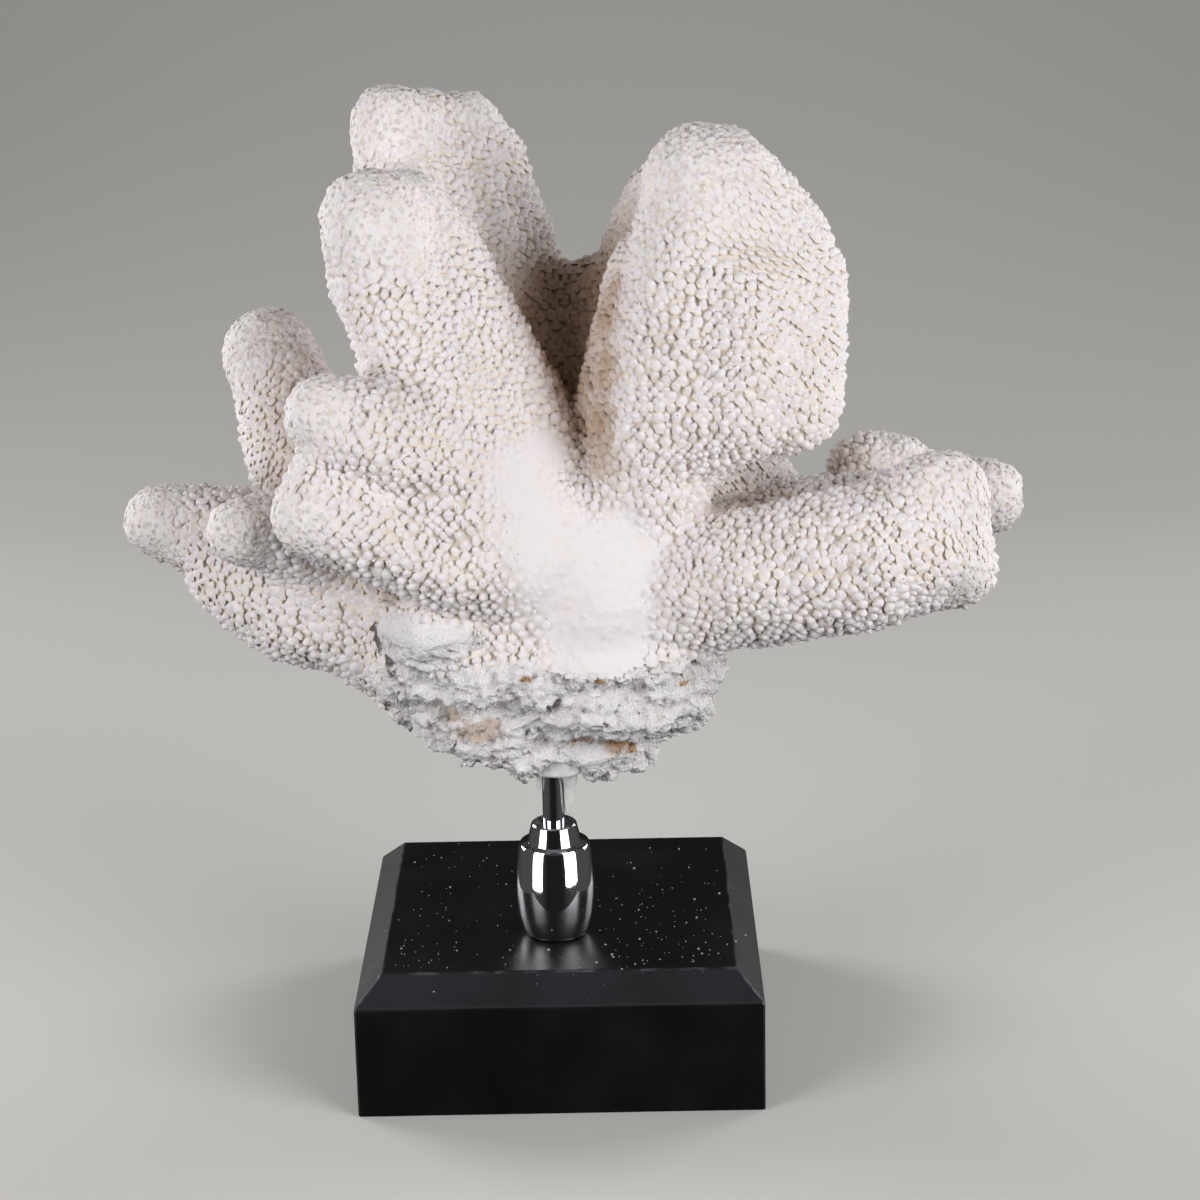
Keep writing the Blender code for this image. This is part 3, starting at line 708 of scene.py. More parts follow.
def foot_skin(points, normals, dead):
    """Roughens the dead foot with ledges, crumbs and pores; gives its hollows' painted shade and its
    stains.
    """
    rows = np.nonzero(dead > 0.01)[0]
    where = points[rows]
    swellings = noise_at(where, SWELLING_SIZE, 3)
    # Ledges run level round the foot, bent up and down by the swellings
    level = (where[:, 2] + 4.0 * swellings) / LEDGE_HEIGHT
    ledges = level - np.floor(level) - 0.5
    crumbs = noise_at(where + 40.0, CRUMB_SIZE, 3)
    # Facets are tilted and raised by chance, each over one cell of broken rock
    facets = np.empty(len(where))
    noise.seed_set(ROCK_SEED)
    for row, place in enumerate((where + 2.0 * crumbs[:, None]).tolist()):
        scaled = Vector(place) / FACET_SIZE
        middle = noise.voronoi(scaled)[1][0]
        tilt = noise.noise_vector(middle * 9.0)
        facets[row] = (scaled - middle).dot(tilt) + noise.noise(middle * 5.0)
    cells = np.array([noise.voronoi(place)[0][0] for place in (where / PORE_SIZE).tolist()])
    pores = 1.0 - smooth_step(cells, 0.12, 0.45)
    pores *= smooth_step(noise_at(where - 20.0, PORE_PATCH, 1), -0.1, 0.3)
    smooth = in_ellipsoids(where, [LEDGE_FACE], 0.75, 1.0)
    wiped = in_ellipsoids(where, [WIPED_PLACE], 0.5, 1.1)
    # Stains have ragged edges, and are darkest on the foot's right
    ragged = 1.0 + 0.9 * crumbs + 0.6 * noise_at(where, 4.0, 2)
    stain = smooth_step(in_ellipsoids(where, PORE_STAINS, 0.3, 1.1) * ragged, 0.15, 1.0)
    stain *= 0.6 + 0.4 * smooth_step(where[:, 0], 0.0, 8.0)
    stain *= 1.0 - wiped
    pores = np.maximum(pores, (1.0 - smooth_step(cells, 0.2, 0.55)) * stain)
    rise = ROCK_RISE["swelling"] * swellings + ROCK_RISE["ledge"] * ledges
    rise += ROCK_RISE["crumb"] * crumbs + ROCK_RISE["facet"] * facets + ROCK_RISE["pore"] * pores
    rise *= (1.0 - FACE_SMOOTHING * smooth) * (1.0 - WIPED_SMOOTHING * wiped)
    rise += FACE_RISE * smooth + WIPED_RISE * wiped
    moved = points.copy()
    moved[rows] += normals[rows] * (dead[rows] * (rise - ROCK_SINKING))[:, None]
    # Grey shade is painted where the foot is hollow: its pores, and where crumbs and facets sink
    grime = np.zeros(len(points))
    grime[rows] = np.clip(0.5 * (pores - crumbs - facets), 0.0, 1.0)
    grime[rows] *= (1.0 - FACE_SMOOTHING * smooth) * (1.0 - wiped)
    stains = in_ellipsoids(points, RIM_SPECKS, 0.6, 1.0)
    stains[rows] = np.maximum(stains[rows], stain)
    return moved, grime, stains


def node_labels(points):
    """Number of the coral solid that each point belongs to."""
    samples = []
    labels = []
    for number, name in enumerate(CORAL_NODES):
        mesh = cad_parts[name].data.copy()
        bm = bmesh.new()
        bm.from_mesh(mesh)
        bmesh.ops.subdivide_edges(bm, edges=bm.edges, cuts=2, use_grid_fill=True)
        samples += [v.co[:] for v in bm.verts]
        labels += [number] * len(bm.verts)
        bm.free()
        bpy.data.meshes.remove(mesh)
    rows, _ = nearest(point_tree(np.array(samples) / MM), points)
    return np.array(labels)[rows]


def add_values(mesh, values):
    """Stores a number for each point under each name, for the material to read."""
    for label, column in values.items():
        attribute = mesh.attributes.new(label, "FLOAT", "POINT")
        attribute.data.foreach_set("value", column.astype(np.float32))


def split_piece(name, whole, normals, corners, keep, values):
    """One branch's faces as a mesh of their own, shaded as in the whole coral."""
    faces = corners[keep]
    used, renamed = np.unique(faces, return_inverse=True)
    mesh = bpy.data.meshes.new(name)
    mesh.vertices.add(len(used))
    mesh.vertices.foreach_set("co", (whole[used] * MM).astype(np.float32).ravel())
    mesh.loops.add(faces.size)
    mesh.loops.foreach_set("vertex_index", renamed.astype(np.int32).ravel())
    mesh.polygons.add(len(faces))
    mesh.polygons.foreach_set("loop_start", np.arange(0, faces.size, 4, dtype=np.int32))
    mesh.update(calc_edges=True)
    mesh.validate()
    add_values(mesh, {label: column[used] for label, column in values.items()})
    mesh.shade_smooth()
    mesh.normals_split_custom_set_from_vertices(normals[used].tolist())
    return mesh


def quad_corners_of(mesh):
    """Corner vertices of a mesh of quads."""
    corners = np.empty(len(mesh.loops), np.int32)
    mesh.loops.foreach_get("vertex_index", corners)
    return corners.reshape(-1, 4)


def smooth_coral(voxel):
    """The whole coral as one skin with its solids' facets softened."""
    item = joined_solids(CORAL_NODES, JOIN_GROWTH)
    remeshed(item, JOIN_VOXEL)
    points, _, edges = mesh_arrays(item.data)
    dead = dead_share(points)
    living = np.clip(1.0 - 0.9 * dead, 0.0, 1.0)
    set_points(item.data, relaxed(points, edges, SMOOTH_STEPS, living))
    remeshed(item, voxel)
    return item


def finish_coral(piece, node, surface):
    """Gives a piece of the coral its material and its place in the frame."""
    piece.data.materials.append(surface)
    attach(piece, "root")
    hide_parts(node)


def coral_material(settings):
    """Bleached coral skeleton: porous calcium carbonate, grown by the animal, dull as chalk.

    The cups are whitest at their tops, with cream painted between them as their warm shade. Tan is
    painted deep between the branches as their shade, and as a stain in their cleft; the pores of the
    ends and the open cups' pits are painted darker as their shade. The dead foot is chalky, with
    grey shade painted in its hollows, and brown where its pores are stained, their holes painted
    dark as shade.
    """
    material, tree, surface = new_material("bleached_calcium_carbonate")
    place = add_node(tree, "ShaderNodeTexCoord").outputs["Object"]
    given = {
        name: add_node(tree, "ShaderNodeAttribute", attribute_name=name).outputs["Fac"]
        for name in ("top", "ends", "open", "pit", "dead", "worn", "grime", "stain")
    }
    # Mottling 8 mm across, chalky grain 1 mm across and dull grain 0.7 mm across
    grains = {
        name: add_node(tree, "ShaderNodeTexNoise", {
            "Vector": place, "Scale": scale, "Detail": detail,
        }).outputs["Fac"]
        for name, scale, detail in (
            ("mottle", 125.0, 3.0), ("chalk", 1000.0, 4.0), ("dull", 1500.0, 2.0),
        )
    }
    # Crooked pores: 2 mm apart on the branches' ends and 1.6 mm apart in the stained places; and
    # the faint swellings of the worn cups, 3 mm apart
    swirl = add_node(tree, "ShaderNodeTexNoise", {"Vector": place, "Scale": 450.0, "Detail": 1.0})
    crooked = add_node(tree, "ShaderNodeVectorMath", {
        0: swirl.outputs["Color"], 1: (0.0014, 0.0014, 0.0014), 2: place,
    }, operation="MULTIPLY_ADD").outputs["Vector"]
    cells = {
        name: add_node(tree, "ShaderNodeTexVoronoi", {
            "Vector": crooked, "Scale": scale,
        }, feature=feature).outputs["Distance"]
        for name, scale, feature in (
            ("pores", 500.0, "F1"), ("comb", 620.0, "F1"), ("swellings", 330.0, "SMOOTH_F1"),
        )
    }
    shares = {
        name: add_node(tree, "ShaderNodeMapRange", {
            "Value": source, "From Min": low, "From Max": high,
        }, interpolation_type="SMOOTHSTEP").outputs["Result"]
        for name, source, low, high in (
            ("top", given["top"], 0.0, 0.75), ("mottle", grains["mottle"], 0.5, 1.0),
            ("pore", cells["pores"], 0.5, 0.15), ("cleft", given["open"], 0.7, 0.0),
            ("pit", given["pit"], 0.4, 1.1), ("dull", grains["dull"], 0.57, 0.88),
            ("comb", cells["comb"], 0.58, 0.2),
        )
    }
    heights = {
        name: add_node(tree, "ShaderNodeMath", {
            0: first, 1: second,
        }, operation="MULTIPLY").outputs["Value"]
        for name, first, second in (
            ("end pores", shares["pore"], given["ends"]),
            ("swellings", cells["swellings"], given["worn"]),
            ("chalk", grains["chalk"], given["dead"]),
        )
    }
    # Colours laid over one another, each as thick as its share
    colours = {
        "living": rgba(settings.cream_and_gap_shade), "brown": rgba(settings.stain), "foot": rgba(settings.chalk),
    }
    for ground, share, layer in (
        # White on the cups' tops, over cream that is painted as the shade between them
        ("living", shares["top"], rgba(settings.white)),
        ("living", shares["mottle"], rgba(settings.cream_and_gap_shade)),
        # The ends' pores are painted darker as their shade, which their bump doesn't cast
        ("living", heights["end pores"], rgba(linear(END_PORE_SHADE_COLOUR))),
        # Tan painted where the open space is small: shade deep between the branches, and the cleft's
        # stain
        ("living", shares["cleft"], rgba(settings.tan)),
        # The open cups' pits, painted dark as their shade
        ("living", shares["pit"], rgba(linear(PIT_SHADE_COLOUR))),
        # The brown stains' pores: brown, with their holes painted dark as their shade
        ("brown", shares["comb"], rgba(linear(BROWN_COMB_SHADE_COLOUR))),
        # Grey shade painted in the foot's hollows; the dull grain below is at random
        ("foot", given["grime"], rgba(settings.grime)),
        ("foot", shares["dull"], rgba(settings.grime)),
        ("foot", given["stain"], "brown"),
        ("living", given["dead"], "foot"),
    ):
        colours[ground] = add_node(tree, "ShaderNodeMix", {
            0: share, 6: colours[ground], 7: colours[layer] if isinstance(layer, str) else layer,
        }, data_type="RGBA").outputs[2]
    # Relief laid over one another the same way, each with its depth in metres
    relief = None
    for height, strength, depth, sunk in (
        (heights["end pores"], 0.6, 0.0006, True), (heights["swellings"], 0.8, 0.0009, True),
        (heights["chalk"], 1.0, 0.0012, False), (grains["dull"], 0.35, 0.0002, False),
    ):
        inputs = {"Height": height, "Strength": strength, "Distance": depth}
        if relief:
            inputs["Normal"] = relief
        relief = add_node(tree, "ShaderNodeBump", inputs, invert=sunk).outputs["Normal"]
    shader = add_node(tree, "ShaderNodeBsdfPrincipled", {
        "Base Color": colours["living"], "Roughness": 0.8, "IOR": 1.5, "Specular IOR Level": 0.3,
        "Normal": relief,
    })
    tree.links.new(shader.outputs["BSDF"], surface)
    return material


def filler_material(settings):
    """Two-part white filler, smeared on wet: smooth, slightly glossy, greyer in its thin places."""
    material, tree, surface = new_material("white_filler")
    place = add_node(tree, "ShaderNodeTexCoord").outputs["Object"]
    # Clouds 3 mm across, where it is thinner
    cloud = add_node(tree, "ShaderNodeTexNoise", {
        "Vector": place, "Scale": 300.0, "Detail": 4.0,
    }).outputs["Fac"]
    colour = add_node(tree, "ShaderNodeMix", {
        0: cloud, 6: rgba(settings.filler), 7: rgba(linear(THIN_FILLER_COLOUR)),
    }, data_type="RGBA").outputs[2]
    bump = add_node(tree, "ShaderNodeBump", {"Height": cloud, "Strength": 0.8, "Distance": 0.0008})
    shader = add_node(tree, "ShaderNodeBsdfPrincipled", {
        "Base Color": colour, "Roughness": 0.6, "Normal": bump.outputs["Normal"],
    })
    tree.links.new(shader.outputs["BSDF"], surface)
    return material


def chrome_material(settings):
    """Chrome plate on turned and polished steel: mirror bright, with the faintest hairlines."""
    material, tree, surface = new_material("polished_chrome_plate")
    place = add_node(tree, "ShaderNodeTexCoord").outputs["Object"]
    # Hairlines of turning and polishing run round the piece, 0.2 mm apart and 2.5 mm long
    stretch = add_node(tree, "ShaderNodeMapping", {"Vector": place, "Scale": (1.0, 1.0, 12.0)})
    hair = add_node(tree, "ShaderNodeTexNoise", {
        "Vector": stretch.outputs["Vector"], "Scale": 400.0, "Detail": 3.0,
    }).outputs["Fac"]
    rough = add_node(tree, "ShaderNodeMapRange", {
        "Value": hair, "From Min": 0.4, "From Max": 0.8, "To Min": 0.03, "To Max": 0.09,
    }).outputs["Result"]
    shader = add_node(tree, "ShaderNodeBsdfPrincipled", {
        "Base Color": rgba(settings.chrome), "Metallic": 1.0, "Roughness": rough,
    })
    tree.links.new(shader.outputs["BSDF"], surface)
    return material


def paint_material(settings):
    """Satin black paint on sanded wood: soft gloss, hazy with handling, dotted with coral dust.

    Its chamfer is tinted blue-grey, partly as wear and partly as painted sheen.
    """
    material, tree, surface = new_material("satin_black_paint_on_wood")
    place = add_node(tree, "ShaderNodeTexCoord").outputs["Object"]
    spot = add_node(tree, "ShaderNodeSeparateXYZ", {"Vector": place}).outputs
    facing = add_node(tree, "ShaderNodeNewGeometry").outputs["Normal"]
    up = add_node(tree, "ShaderNodeSeparateXYZ", {"Vector": facing}).outputs["Z"]
    # Haze of handling 30 mm across, which also places the chamfer's painted sheen, patches of wear
    # 4.5 mm across, roller texture 0.8 mm across
    haze, patches, texture = (
        add_node(tree, "ShaderNodeTexNoise", {
            "Vector": place, "Scale": scale, "Detail": detail,
        }).outputs["Fac"]
        for scale, detail in ((35.0, 5.0), (220.0, 4.0), (1200.0, 2.0))
    )
    # Fine dust, one speck in some of the 1.2 mm cells, up to 0.25 mm across
    cells = add_node(tree, "ShaderNodeTexVoronoi", {"Vector": place, "Scale": 830.0})
    picked = add_node(tree, "ShaderNodeSeparateXYZ", {"Vector": cells.outputs["Color"]}).outputs["X"]
    values = {
        "x": spot["X"], "y": spot["Y"], "edge": EDGE_OF_TOP * MM, "speck": cells.outputs["Distance"],
    }
    for name, source, low, high, most in (
        ("sloped", up, 0.2, 0.5, 1.0), ("not flat", up, 0.95, 0.85, 1.0),
        ("not upright", up, 0.2, 0.6, 1.0), ("handled", haze, 0.2, 0.7, 1.0),
        ("dull", haze, 0.3, 0.8, 0.2), ("drifted", haze, 0.4, 0.6, 1.0),
        ("patchy", patches, 0.45, 0.7, 1.0), ("speck size", picked, 0.93, 1.0, 0.11),
    ):
        values[name] = add_node(tree, "ShaderNodeMapRange", {
            "Value": source, "From Min": low, "From Max": high, "To Max": most,
        }, interpolation_type="SMOOTHSTEP").outputs["Result"]
    # The chamfer has been handled more than the rest: duller, and tinted blue-grey, partly as wear
    # and partly as painted sheen on its sloped faces. Paint is rubbed thin along the edge between the
    # top and its chamfer, and at the chamfer's corners
    for name, kind, first, second in (
        ("chamfer", "MULTIPLY", "sloped", "not flat"), ("greyed", "MULTIPLY", "chamfer", "handled"),
        ("along x", "ABSOLUTE", "x", 0.0), ("along y", "ABSOLUTE", "y", 0.0),
        ("reach", "MAXIMUM", "along x", "along y"), ("past edge", "SUBTRACT", "reach", "edge"),
        ("off edge", "ABSOLUTE", "past edge", 0.0), ("on edge", "LESS_THAN", "off edge", RUBBED_WIDTH),
        ("askew", "SUBTRACT", "along x", "along y"), ("off corner", "ABSOLUTE", "askew", 0.0),
        ("at corner", "LESS_THAN", "off corner", RUBBED_WIDTH),
        ("corner", "MULTIPLY", "at corner", "chamfer"),
        ("edge wear", "MULTIPLY", "on edge", 0.5), ("wear", "MAXIMUM", "corner", "edge wear"),
        ("rubbed", "MULTIPLY", "wear", "patchy"), ("is speck", "LESS_THAN", "speck", "speck size"),
        ("lying", "MULTIPLY", "is speck", "not upright"), ("dusty", "MULTIPLY", "lying", "drifted"),
        ("chamfer dull", "MULTIPLY_ADD", "chamfer", 0.2), ("rough", "ADD", "chamfer dull", "dull"),
    ):
        inputs = {0: values.get(first, first), 1: values.get(second, second)}
        if kind == "MULTIPLY_ADD":
            inputs[2] = PAINT_ROUGHNESS
        values[name] = add_node(tree, "ShaderNodeMath", inputs, operation=kind).outputs["Value"]
    colour = rgba(settings.paint)
    for share, layer in (
        ("greyed", settings.worn), ("rubbed", linear(BARE_EDGE_COLOUR)), ("dusty", settings.dust),
    ):
        colour = add_node(tree, "ShaderNodeMix", {
            0: values[share], 6: colour, 7: rgba(layer),
        }, data_type="RGBA").outputs[2]
    bump = add_node(tree, "ShaderNodeBump", {"Height": texture, "Strength": 0.12, "Distance": 0.0001})
    shader = add_node(tree, "ShaderNodeBsdfPrincipled", {
        "Base Color": colour, "Roughness": values["rough"], "Normal": bump.outputs["Normal"],
    })
    tree.links.new(shader.outputs["BSDF"], surface)
    return material


def crumb_material(settings):
    """Crumbs of coral and dust: dull chalk white, some of them grey."""
    material, tree, surface = new_material("fallen_coral_crumbs")
    place = add_node(tree, "ShaderNodeTexCoord").outputs["Object"]
    # Each crumb has its own tone, from clouds 2 mm across
    cloud = add_node(tree, "ShaderNodeTexNoise", {
        "Vector": place, "Scale": 500.0, "Detail": 2.0,
    }).outputs["Fac"]
    colour = add_node(tree, "ShaderNodeMix", {
        0: cloud, 6: rgba(settings.dust), 7: rgba(linear(GREY_CRUMB_COLOUR)),
    }, data_type="RGBA").outputs[2]
    bump = add_node(tree, "ShaderNodeBump", {"Height": cloud, "Strength": 0.5, "Distance": 0.0002})
    shader = add_node(tree, "ShaderNodeBsdfPrincipled", {
        "Base Color": colour, "Roughness": 0.85, "Normal": bump.outputs["Normal"],
    })
    tree.links.new(shader.outputs["BSDF"], surface)
    return material


def crumb_places(random):
    """Places of the crumbs on the plinth's top and chamfer: half strewn, half in drifts."""
    strewn = random.uniform(-CRUMB_REACH, CRUMB_REACH, (CRUMB_COUNT // 2, 2))
    drift = random.integers(0, len(CRUMB_DRIFTS), CRUMB_COUNT - len(strewn))
    middle = np.array(CRUMB_DRIFTS)[drift]
    drifted = middle[:, :2] + random.normal(size=(len(drift), 2)) * middle[:, 2:]
    places = np.concatenate([strewn, drifted])
    places = places[np.abs(places).max(axis=1) < CRUMB_EDGE]
    post = np.linalg.norm(places - np.array(POST_CENTRE), axis=1)
    return places[post > POST_CLEARANCE]


class CORAL_OT_grow_coral(bpy.types.Operator):
    """Skin the living branches and grow the cups on them"""

    bl_idname = "coral.grow_coral"
    bl_label = "Grow Coral"

    def execute(self, context):
        settings = context.scene.coral
        random = np.random.default_rng(settings.seed)
        surface = coral_material(settings)
        item = smooth_coral(settings.voxel)
        points, normals, _ = mesh_arrays(item.data)
        dead = dead_share(points)
        labels = node_labels(points)
        # Open space sets where tan is painted as shade; the cleft's places lower it, as stain and shade
        seen = open_share(item, points, normals, random)
        patches = 1.0 + 0.5 * noise_at(points, STAIN_AND_SHADE_PATCH, 2)
        seen -= STAIN_AND_SHADE_DEPTH * near_places(points, STAIN_AND_SHADE_PLACES, 0.2, 2.1) * patches
        plan, height, ends, worn = cup_plan(settings, points, normals, dead, random)
        moved, top = cup_skin(points, normals, height, plan)
        set_points(item.data, moved)
        _, normals, _ = mesh_arrays(item.data)
        corners = quad_corners_of(item.data)
        # Skin away from a cup's middle is painted cream, as the shade between the cups
        values = {
            "top": np.maximum(0.6 * top, np.maximum(ends, worn)), "pit": 0.0 * top, "ends": ends,
            "open": seen, "dead": 0.0 * top, "worn": worn,
        }
        living = dead[corners].min(axis=1) < LIVING_LIMIT
        for number, name in enumerate(CORAL_NODES):
            keep = (labels[corners[:, 0]] == number) & living
            mesh = split_piece(name, moved, normals, corners, keep, values)
            piece = new_object(BRANCH_NAMES.get(name, name.replace("coral_", "") + "_branch"), mesh)
            finish_coral(piece, name, surface)
        rows = plan["rows"]
        grown = (plan["height"] > MIN_CUP) & (dead[rows] < CUP_LIMIT)
        tall = plan["height"] > BUD_HEIGHT
        for number, name in enumerate(CORAL_NODES):
            for word, shape, kind in (("cups", CUP_RINGS, tall), ("buds", BUD_RINGS, ~tall)):
                keep = (labels[rows] == number) & grown & kind
                if not keep.any():
                    continue
                mesh, top, pit, stride = cup_mesh(name, moved[rows], plan, keep, random, shape)
                top = np.maximum(top, np.repeat(worn[rows][keep], stride))
                add_values(mesh, {
                    "top": top, "pit": pit, "dead": 0.0 * top,
                    "open": np.repeat(seen[rows][keep], stride),
                    "ends": np.repeat(ends[rows][keep], stride),
                })
                piece = new_object(name.replace("coral_", "") + "_" + word, mesh)
                finish_coral(piece, name, surface)
        bpy.data.objects.remove(item)
        return {"FINISHED"}


class CORAL_OT_break_foot(bpy.types.Operator):
    """Skin the dead, broken foot under the living coral"""

    bl_idname = "coral.break_foot"
    bl_label = "Break Foot"

    def execute(self, context):
        settings = context.scene.coral
        item = smooth_coral(settings.foot_voxel)
        points, normals, _ = mesh_arrays(item.data)
        dead = dead_share(points)
        moved, grime, stain = foot_skin(points, normals, dead)
        set_points(item.data, moved)
        _, normals, _ = mesh_arrays(item.data)
        corners = quad_corners_of(item.data)
        ones = np.ones(len(points))
        values = {
            "top": ones, "pit": 0.0 * ones, "ends": 0.0 * ones, "open": ones, "dead": ones,
            "grime": grime, "stain": stain,
        }
        keep = dead[corners].max(axis=1) > FOOT_LIMIT
        piece = new_object("dead_foot", split_piece("foot", moved, normals, corners, keep, values))
        finish_coral(piece, "coral_trunk", bpy.data.materials["bleached_calcium_carbonate"])
        bpy.data.objects.remove(item)
        return {"FINISHED"}


class CORAL_OT_smear_filler(bpy.types.Operator):
    """Round off the filler and its drips"""

    bl_idname = "coral.smear_filler"
    bl_label = "Smear Filler"

    def execute(self, context):
        settings = context.scene.coral_stand
        item = joined_solids(["filler"], FILLER_GROWTH)
        remeshed(item, settings.filler_voxel)
        points, normals, edges = mesh_arrays(item.data)
        points = relaxed(points, edges, FILLER_STEPS, np.ones(len(points)))
        points += normals * (FILLER_LUMPS * noise_at(points, FILLER_LUMP_SIZE, 2))[:, None]
        set_points(item.data, points)
        item.data.shade_smooth()
        item.data.materials.append(filler_material(settings))
        item.name = "filler_and_drips"
        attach(item, "root")
        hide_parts("filler")
        return {"FINISHED"}


def turned(name, profile, centre, sides, surface):
    """A turned piece at full roundness from radius and height points, top to bottom."""
    bm = bmesh.new()
    outline = [(0.0, profile[0][1])] + profile + [(0.0, profile[-1][1])]
    verts = [bm.verts.new((radius * MM, 0.0, height * MM)) for radius, height in outline]
    edges = [bm.edges.new(pair) for pair in zip(verts[:-1], verts[1:])]
    bmesh.ops.spin(
        bm, geom=verts + edges, axis=(0, 0, 1), cent=(0, 0, 0), angle=math.tau, steps=sides,
        use_merge=True,
    )
    bmesh.ops.remove_doubles(bm, verts=bm.verts, dist=0.001 * MM)
    bmesh.ops.recalc_face_normals(bm, faces=bm.faces)
    bmesh.ops.translate(bm, verts=bm.verts, vec=(centre[0], centre[1], 0.0))
    mesh = bpy.data.meshes.new(name)
    bm.to_mesh(mesh)
    bm.free()
    mesh.shade_smooth()
    mesh.set_sharp_from_angle(angle=math.radians(SHARP_ANGLE))
    mesh.materials.append(surface)
    return new_object(name, mesh)


class CORAL_OT_turn_post(bpy.types.Operator):
    """Turn the chrome rod and ferrule at full roundness"""

    bl_idname = "coral.turn_post"
    bl_label = "Turn Post"

    def execute(self, context):
        settings = context.scene.coral_stand
        chrome = chrome_material(settings)
        low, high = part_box("rod")
        centre = (low + high) / 2
        radius = (high.x - low.x) / 2 / MM
        profile = [
            (radius - ROD_EDGE, high.z / MM), (radius, high.z / MM - ROD_EDGE),
            (radius, low.z / MM + ROD_EDGE), (radius - ROD_EDGE, low.z / MM),
        ]
        rod = turned("polished_rod", profile, centre, settings.round_sides, chrome)
        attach(rod, "root")
        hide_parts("rod")
        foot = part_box("ferrule")[0].z / MM
        profile = [(r, foot + height) for r, height in FERRULE_PROFILE]
        ferrule = turned("turned_ferrule", profile, centre, settings.round_sides, chrome)
        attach(ferrule, "root")
        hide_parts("ferrule")
        return {"FINISHED"}


class CORAL_OT_paint_plinth(bpy.types.Operator):
    """Paint the plinth satin black"""

    bl_idname = "coral.paint_plinth"
    bl_label = "Paint Plinth"

    def execute(self, context):
        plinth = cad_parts["plinth"]
        for slot in plinth.material_slots:
            slot.material = paint_material(context.scene.coral_stand)
        return {"FINISHED"}


class CORAL_OT_drop_crumbs(bpy.types.Operator):
    """Drop coral crumbs on the plinth"""

    bl_idname = "coral.drop_crumbs"
    bl_label = "Drop Crumbs"

    def execute(self, context):
        settings = context.scene.coral_stand
        random = np.random.default_rng(CRUMB_SEED)
        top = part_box("plinth")[1].z / MM
        bm = bmesh.new()
        for x, y in crumb_places(random):
            size = CRUMB_RADIUS + CRUMB_SPREAD * random.random()
            size += LARGE_CRUMB * random.random() ** CRUMB_RARITY
            # The chamfer falls away at 45 degrees beyond the top face
            fall = max(0.0, max(abs(x), abs(y)) - EDGE_OF_TOP)
            made = bmesh.ops.create_icosphere(bm, subdivisions=1, radius=size * MM)
            for vert in made["verts"]:
                vert.co.z *= CRUMB_FLATNESS
                vert.co *= random.uniform(*CRUMB_UNEVEN)
                vert.co += Vector((x, y, top - fall + CRUMB_LIFT * size)) * MM
        mesh = bpy.data.meshes.new("crumbs")
        bm.to_mesh(mesh)
        bm.free()
        mesh.materials.append(crumb_material(settings))
        crumbs = new_object("crumbs", mesh)
        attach(crumbs, "root")
        return {"FINISHED"}


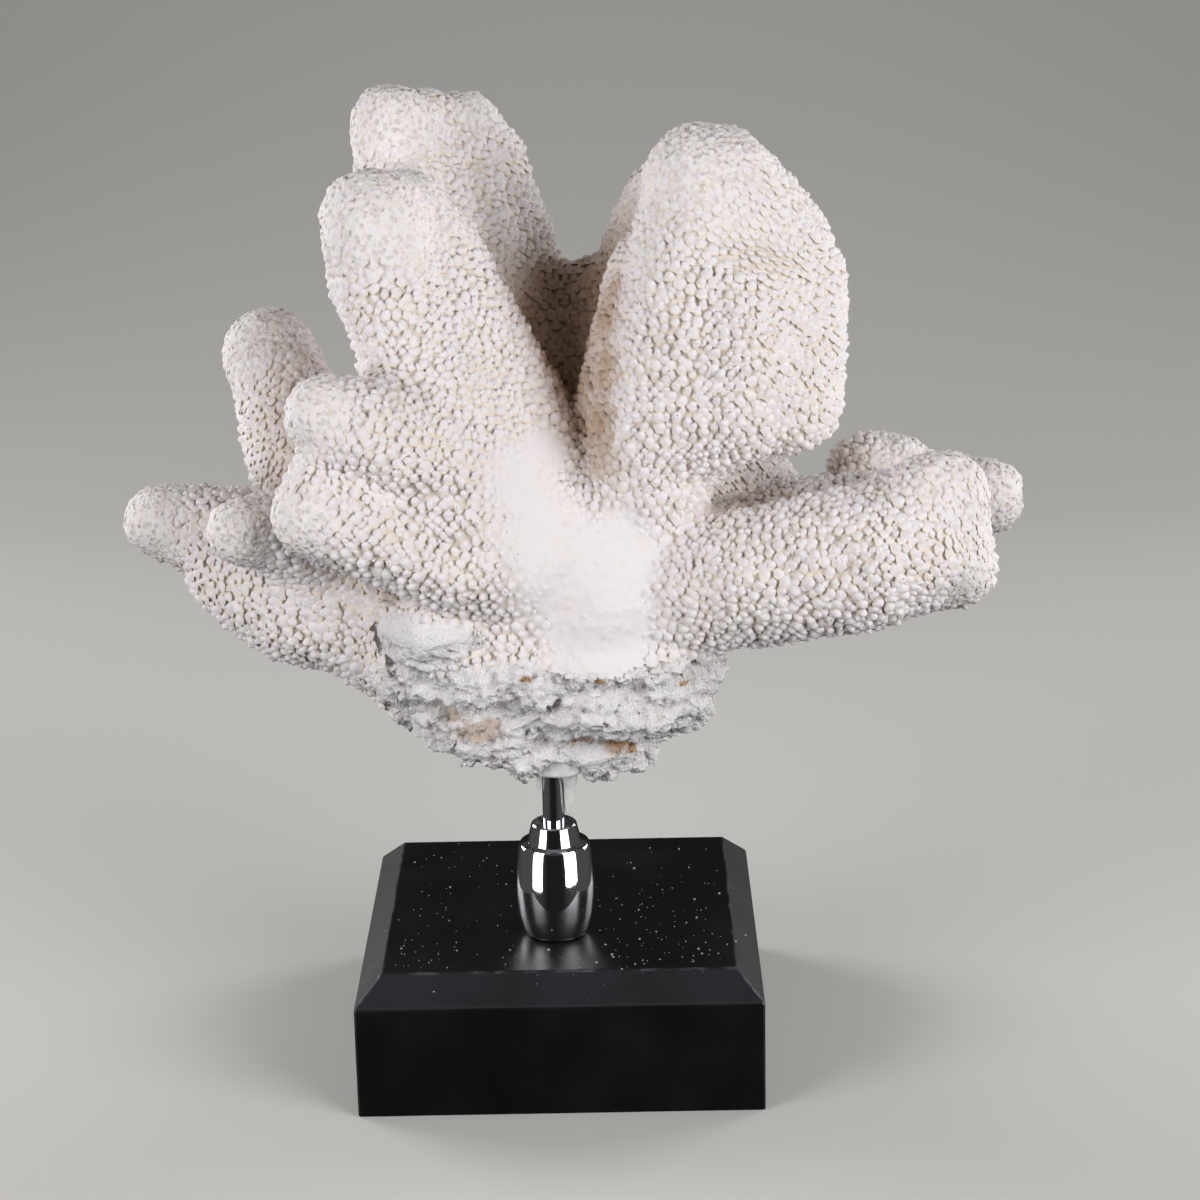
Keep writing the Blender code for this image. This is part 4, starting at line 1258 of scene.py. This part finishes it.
class CORAL_OT_set_stage(bpy.types.Operator):
    """Lay the floor, hang the soft boxes and place the camera"""

    bl_idname = "coral.set_stage"
    bl_label = "Set Stage"

    def execute(self, context):
        settings = context.scene.coral_stage
        self.lay_floor(settings)
        for name, place, size, share in SOFT_BOXES:
            self.hang_light(name, place, size, settings.key_power * share)
        self.fill_sky(context.scene, settings.sky)
        self.place_camera(context.scene)
        context.scene.view_settings.view_transform = "Standard"
        return {"FINISHED"}

    def fill_sky(self, scene, strength):
        """Even pale light from above, a glow from the far left and right, and little else."""
        world = bpy.data.worlds.new("even_light")
        world.use_nodes = True
        tree = world.node_tree
        way = add_node(tree, "ShaderNodeTexCoord").outputs["Generated"]
        spot = add_node(tree, "ShaderNodeSeparateXYZ", {"Vector": way})
        above = add_node(tree, "ShaderNodeMapRange", {
            "Value": spot.outputs["Z"], "From Min": 0.3, "From Max": 0.95, "To Min": LOW_LIGHT,
            "To Max": strength,
        })
        aside = add_node(tree, "ShaderNodeMath", {0: spot.outputs["X"]}, operation="ABSOLUTE")
        glow = add_node(tree, "ShaderNodeMapRange", {
            "Value": aside.outputs["Value"], "From Min": 0.35, "From Max": 0.9, "To Max": SIDE_GLOW,
        })
        level = add_node(tree, "ShaderNodeMath", {
            0: above.outputs["Result"], 1: glow.outputs["Result"],
        }, operation="ADD")
        background = tree.nodes["Background"]
        tree.links.new(level.outputs["Value"], background.inputs["Strength"])
        background.inputs["Color"].default_value = rgba(SKY_COLOUR)
        scene.world = world

    def lay_floor(self, settings):
        """A sweep of pale paper that curves up behind, left out of the chrome and the bounced light."""
        profile = [(SWEEP_FRONT, 0.0)]
        for step in range(SWEEP_STEPS + 1):
            angle = math.radians(90.0 * step / SWEEP_STEPS)
            rise = SWEEP_RADIUS * (1.0 - math.cos(angle))
            profile.append((SWEEP_START + SWEEP_RADIUS * math.sin(angle), rise))
        profile.append((SWEEP_START + SWEEP_RADIUS, SWEEP_TOP))
        bm = bmesh.new()
        sides = (-SWEEP_HALF_WIDTH, SWEEP_HALF_WIDTH)
        rows = [[bm.verts.new((side, y, z)) for y, z in profile] for side in sides]
        for low in range(len(profile) - 1):
            bm.faces.new((rows[0][low], rows[1][low], rows[1][low + 1], rows[0][low + 1]))
        mesh = bpy.data.meshes.new("floor")
        bm.to_mesh(mesh)
        bm.free()
        mesh.shade_smooth()
        material, tree, surface = new_material("pale_matt_paper")
        shader = add_node(tree, "ShaderNodeBsdfPrincipled", {
            "Base Color": rgba(settings.floor), "Roughness": 0.9,
        })
        tree.links.new(shader.outputs["BSDF"], surface)
        mesh.materials.append(material)
        floor = new_object("floor", mesh)
        floor.visible_glossy = False
        floor.visible_diffuse = False

    def hang_light(self, name, place, size, power):
        """A soft box aimed at the coral's middle."""
        data = bpy.data.lights.new(name, "AREA")
        data.shape = "RECTANGLE"
        data.size, data.size_y = size
        data.energy = power
        data.spread = math.radians(BOX_SPREAD)
        lamp = bpy.data.objects.new(name, data)
        lamp.location = place
        lamp.visible_camera = False
        way = Vector(BOX_AIM) - lamp.location
        lamp.rotation_euler = way.to_track_quat("-Z", "Y").to_euler()
        bpy.context.scene.collection.objects.link(lamp)

    def place_camera(self, scene):
        """The camera at the photograph's place and angle."""
        data = bpy.data.cameras.new("camera")
        data.sensor_width = 36.0
        data.lens = CAMERA_LENS
        camera = bpy.data.objects.new("camera", data)
        level = Matrix.Rotation(math.radians(90.0 - CAMERA_DIP), 4, "X")
        turn = Matrix.Rotation(math.radians(-CAMERA_AZIMUTH), 4, "Z")
        roll = Matrix.Rotation(math.radians(CAMERA_ROLL), 4, "Z")
        camera.matrix_world = Matrix.Translation(Vector(CAMERA_PLACE) * MM) @ turn @ level @ roll
        scene.collection.objects.link(camera)
        scene.camera = camera


class CORAL_PT_workbench(bpy.types.Panel):
    """Buttons and settings of the coral and its stand"""

    bl_label = "Coral on Stand"
    bl_idname = "CORAL_PT_workbench"
    bl_space_type = "VIEW_3D"
    bl_region_type = "UI"
    bl_category = "Coral"

    def draw(self, context):
        for group in (context.scene.coral, context.scene.coral_stand, context.scene.coral_stage):
            for name in group.__annotations__:
                self.layout.prop(group, name)
        for operator in OPERATORS:
            self.layout.operator(operator.bl_idname)


OPERATORS = (
    CORAL_OT_grow_coral, CORAL_OT_break_foot, CORAL_OT_smear_filler, CORAL_OT_turn_post,
    CORAL_OT_paint_plinth, CORAL_OT_drop_crumbs, CORAL_OT_set_stage,
)
CLASSES = (CoralSettings, StandSettings, StageSettings, *OPERATORS, CORAL_PT_workbench)


def register():
    """Makes the operators, the panel and the settings known to Blender."""
    for item in CLASSES:
        bpy.utils.register_class(item)
    bpy.types.Scene.coral = PointerProperty(type=CoralSettings)
    bpy.types.Scene.coral_stand = PointerProperty(type=StandSettings)
    bpy.types.Scene.coral_stage = PointerProperty(type=StageSettings)


def unregister():
    """Takes out all that register put in."""
    del bpy.types.Scene.coral
    del bpy.types.Scene.coral_stand
    del bpy.types.Scene.coral_stage
    for item in reversed(CLASSES):
        bpy.utils.unregister_class(item)


def main():
    """Builds the whole scene."""
    register()
    bpy.ops.coral.grow_coral()
    bpy.ops.coral.break_foot()
    bpy.ops.coral.smear_filler()
    bpy.ops.coral.turn_post()
    bpy.ops.coral.paint_plinth()
    bpy.ops.coral.drop_crumbs()
    bpy.ops.coral.set_stage()


if __name__ == "__main__":
    main()
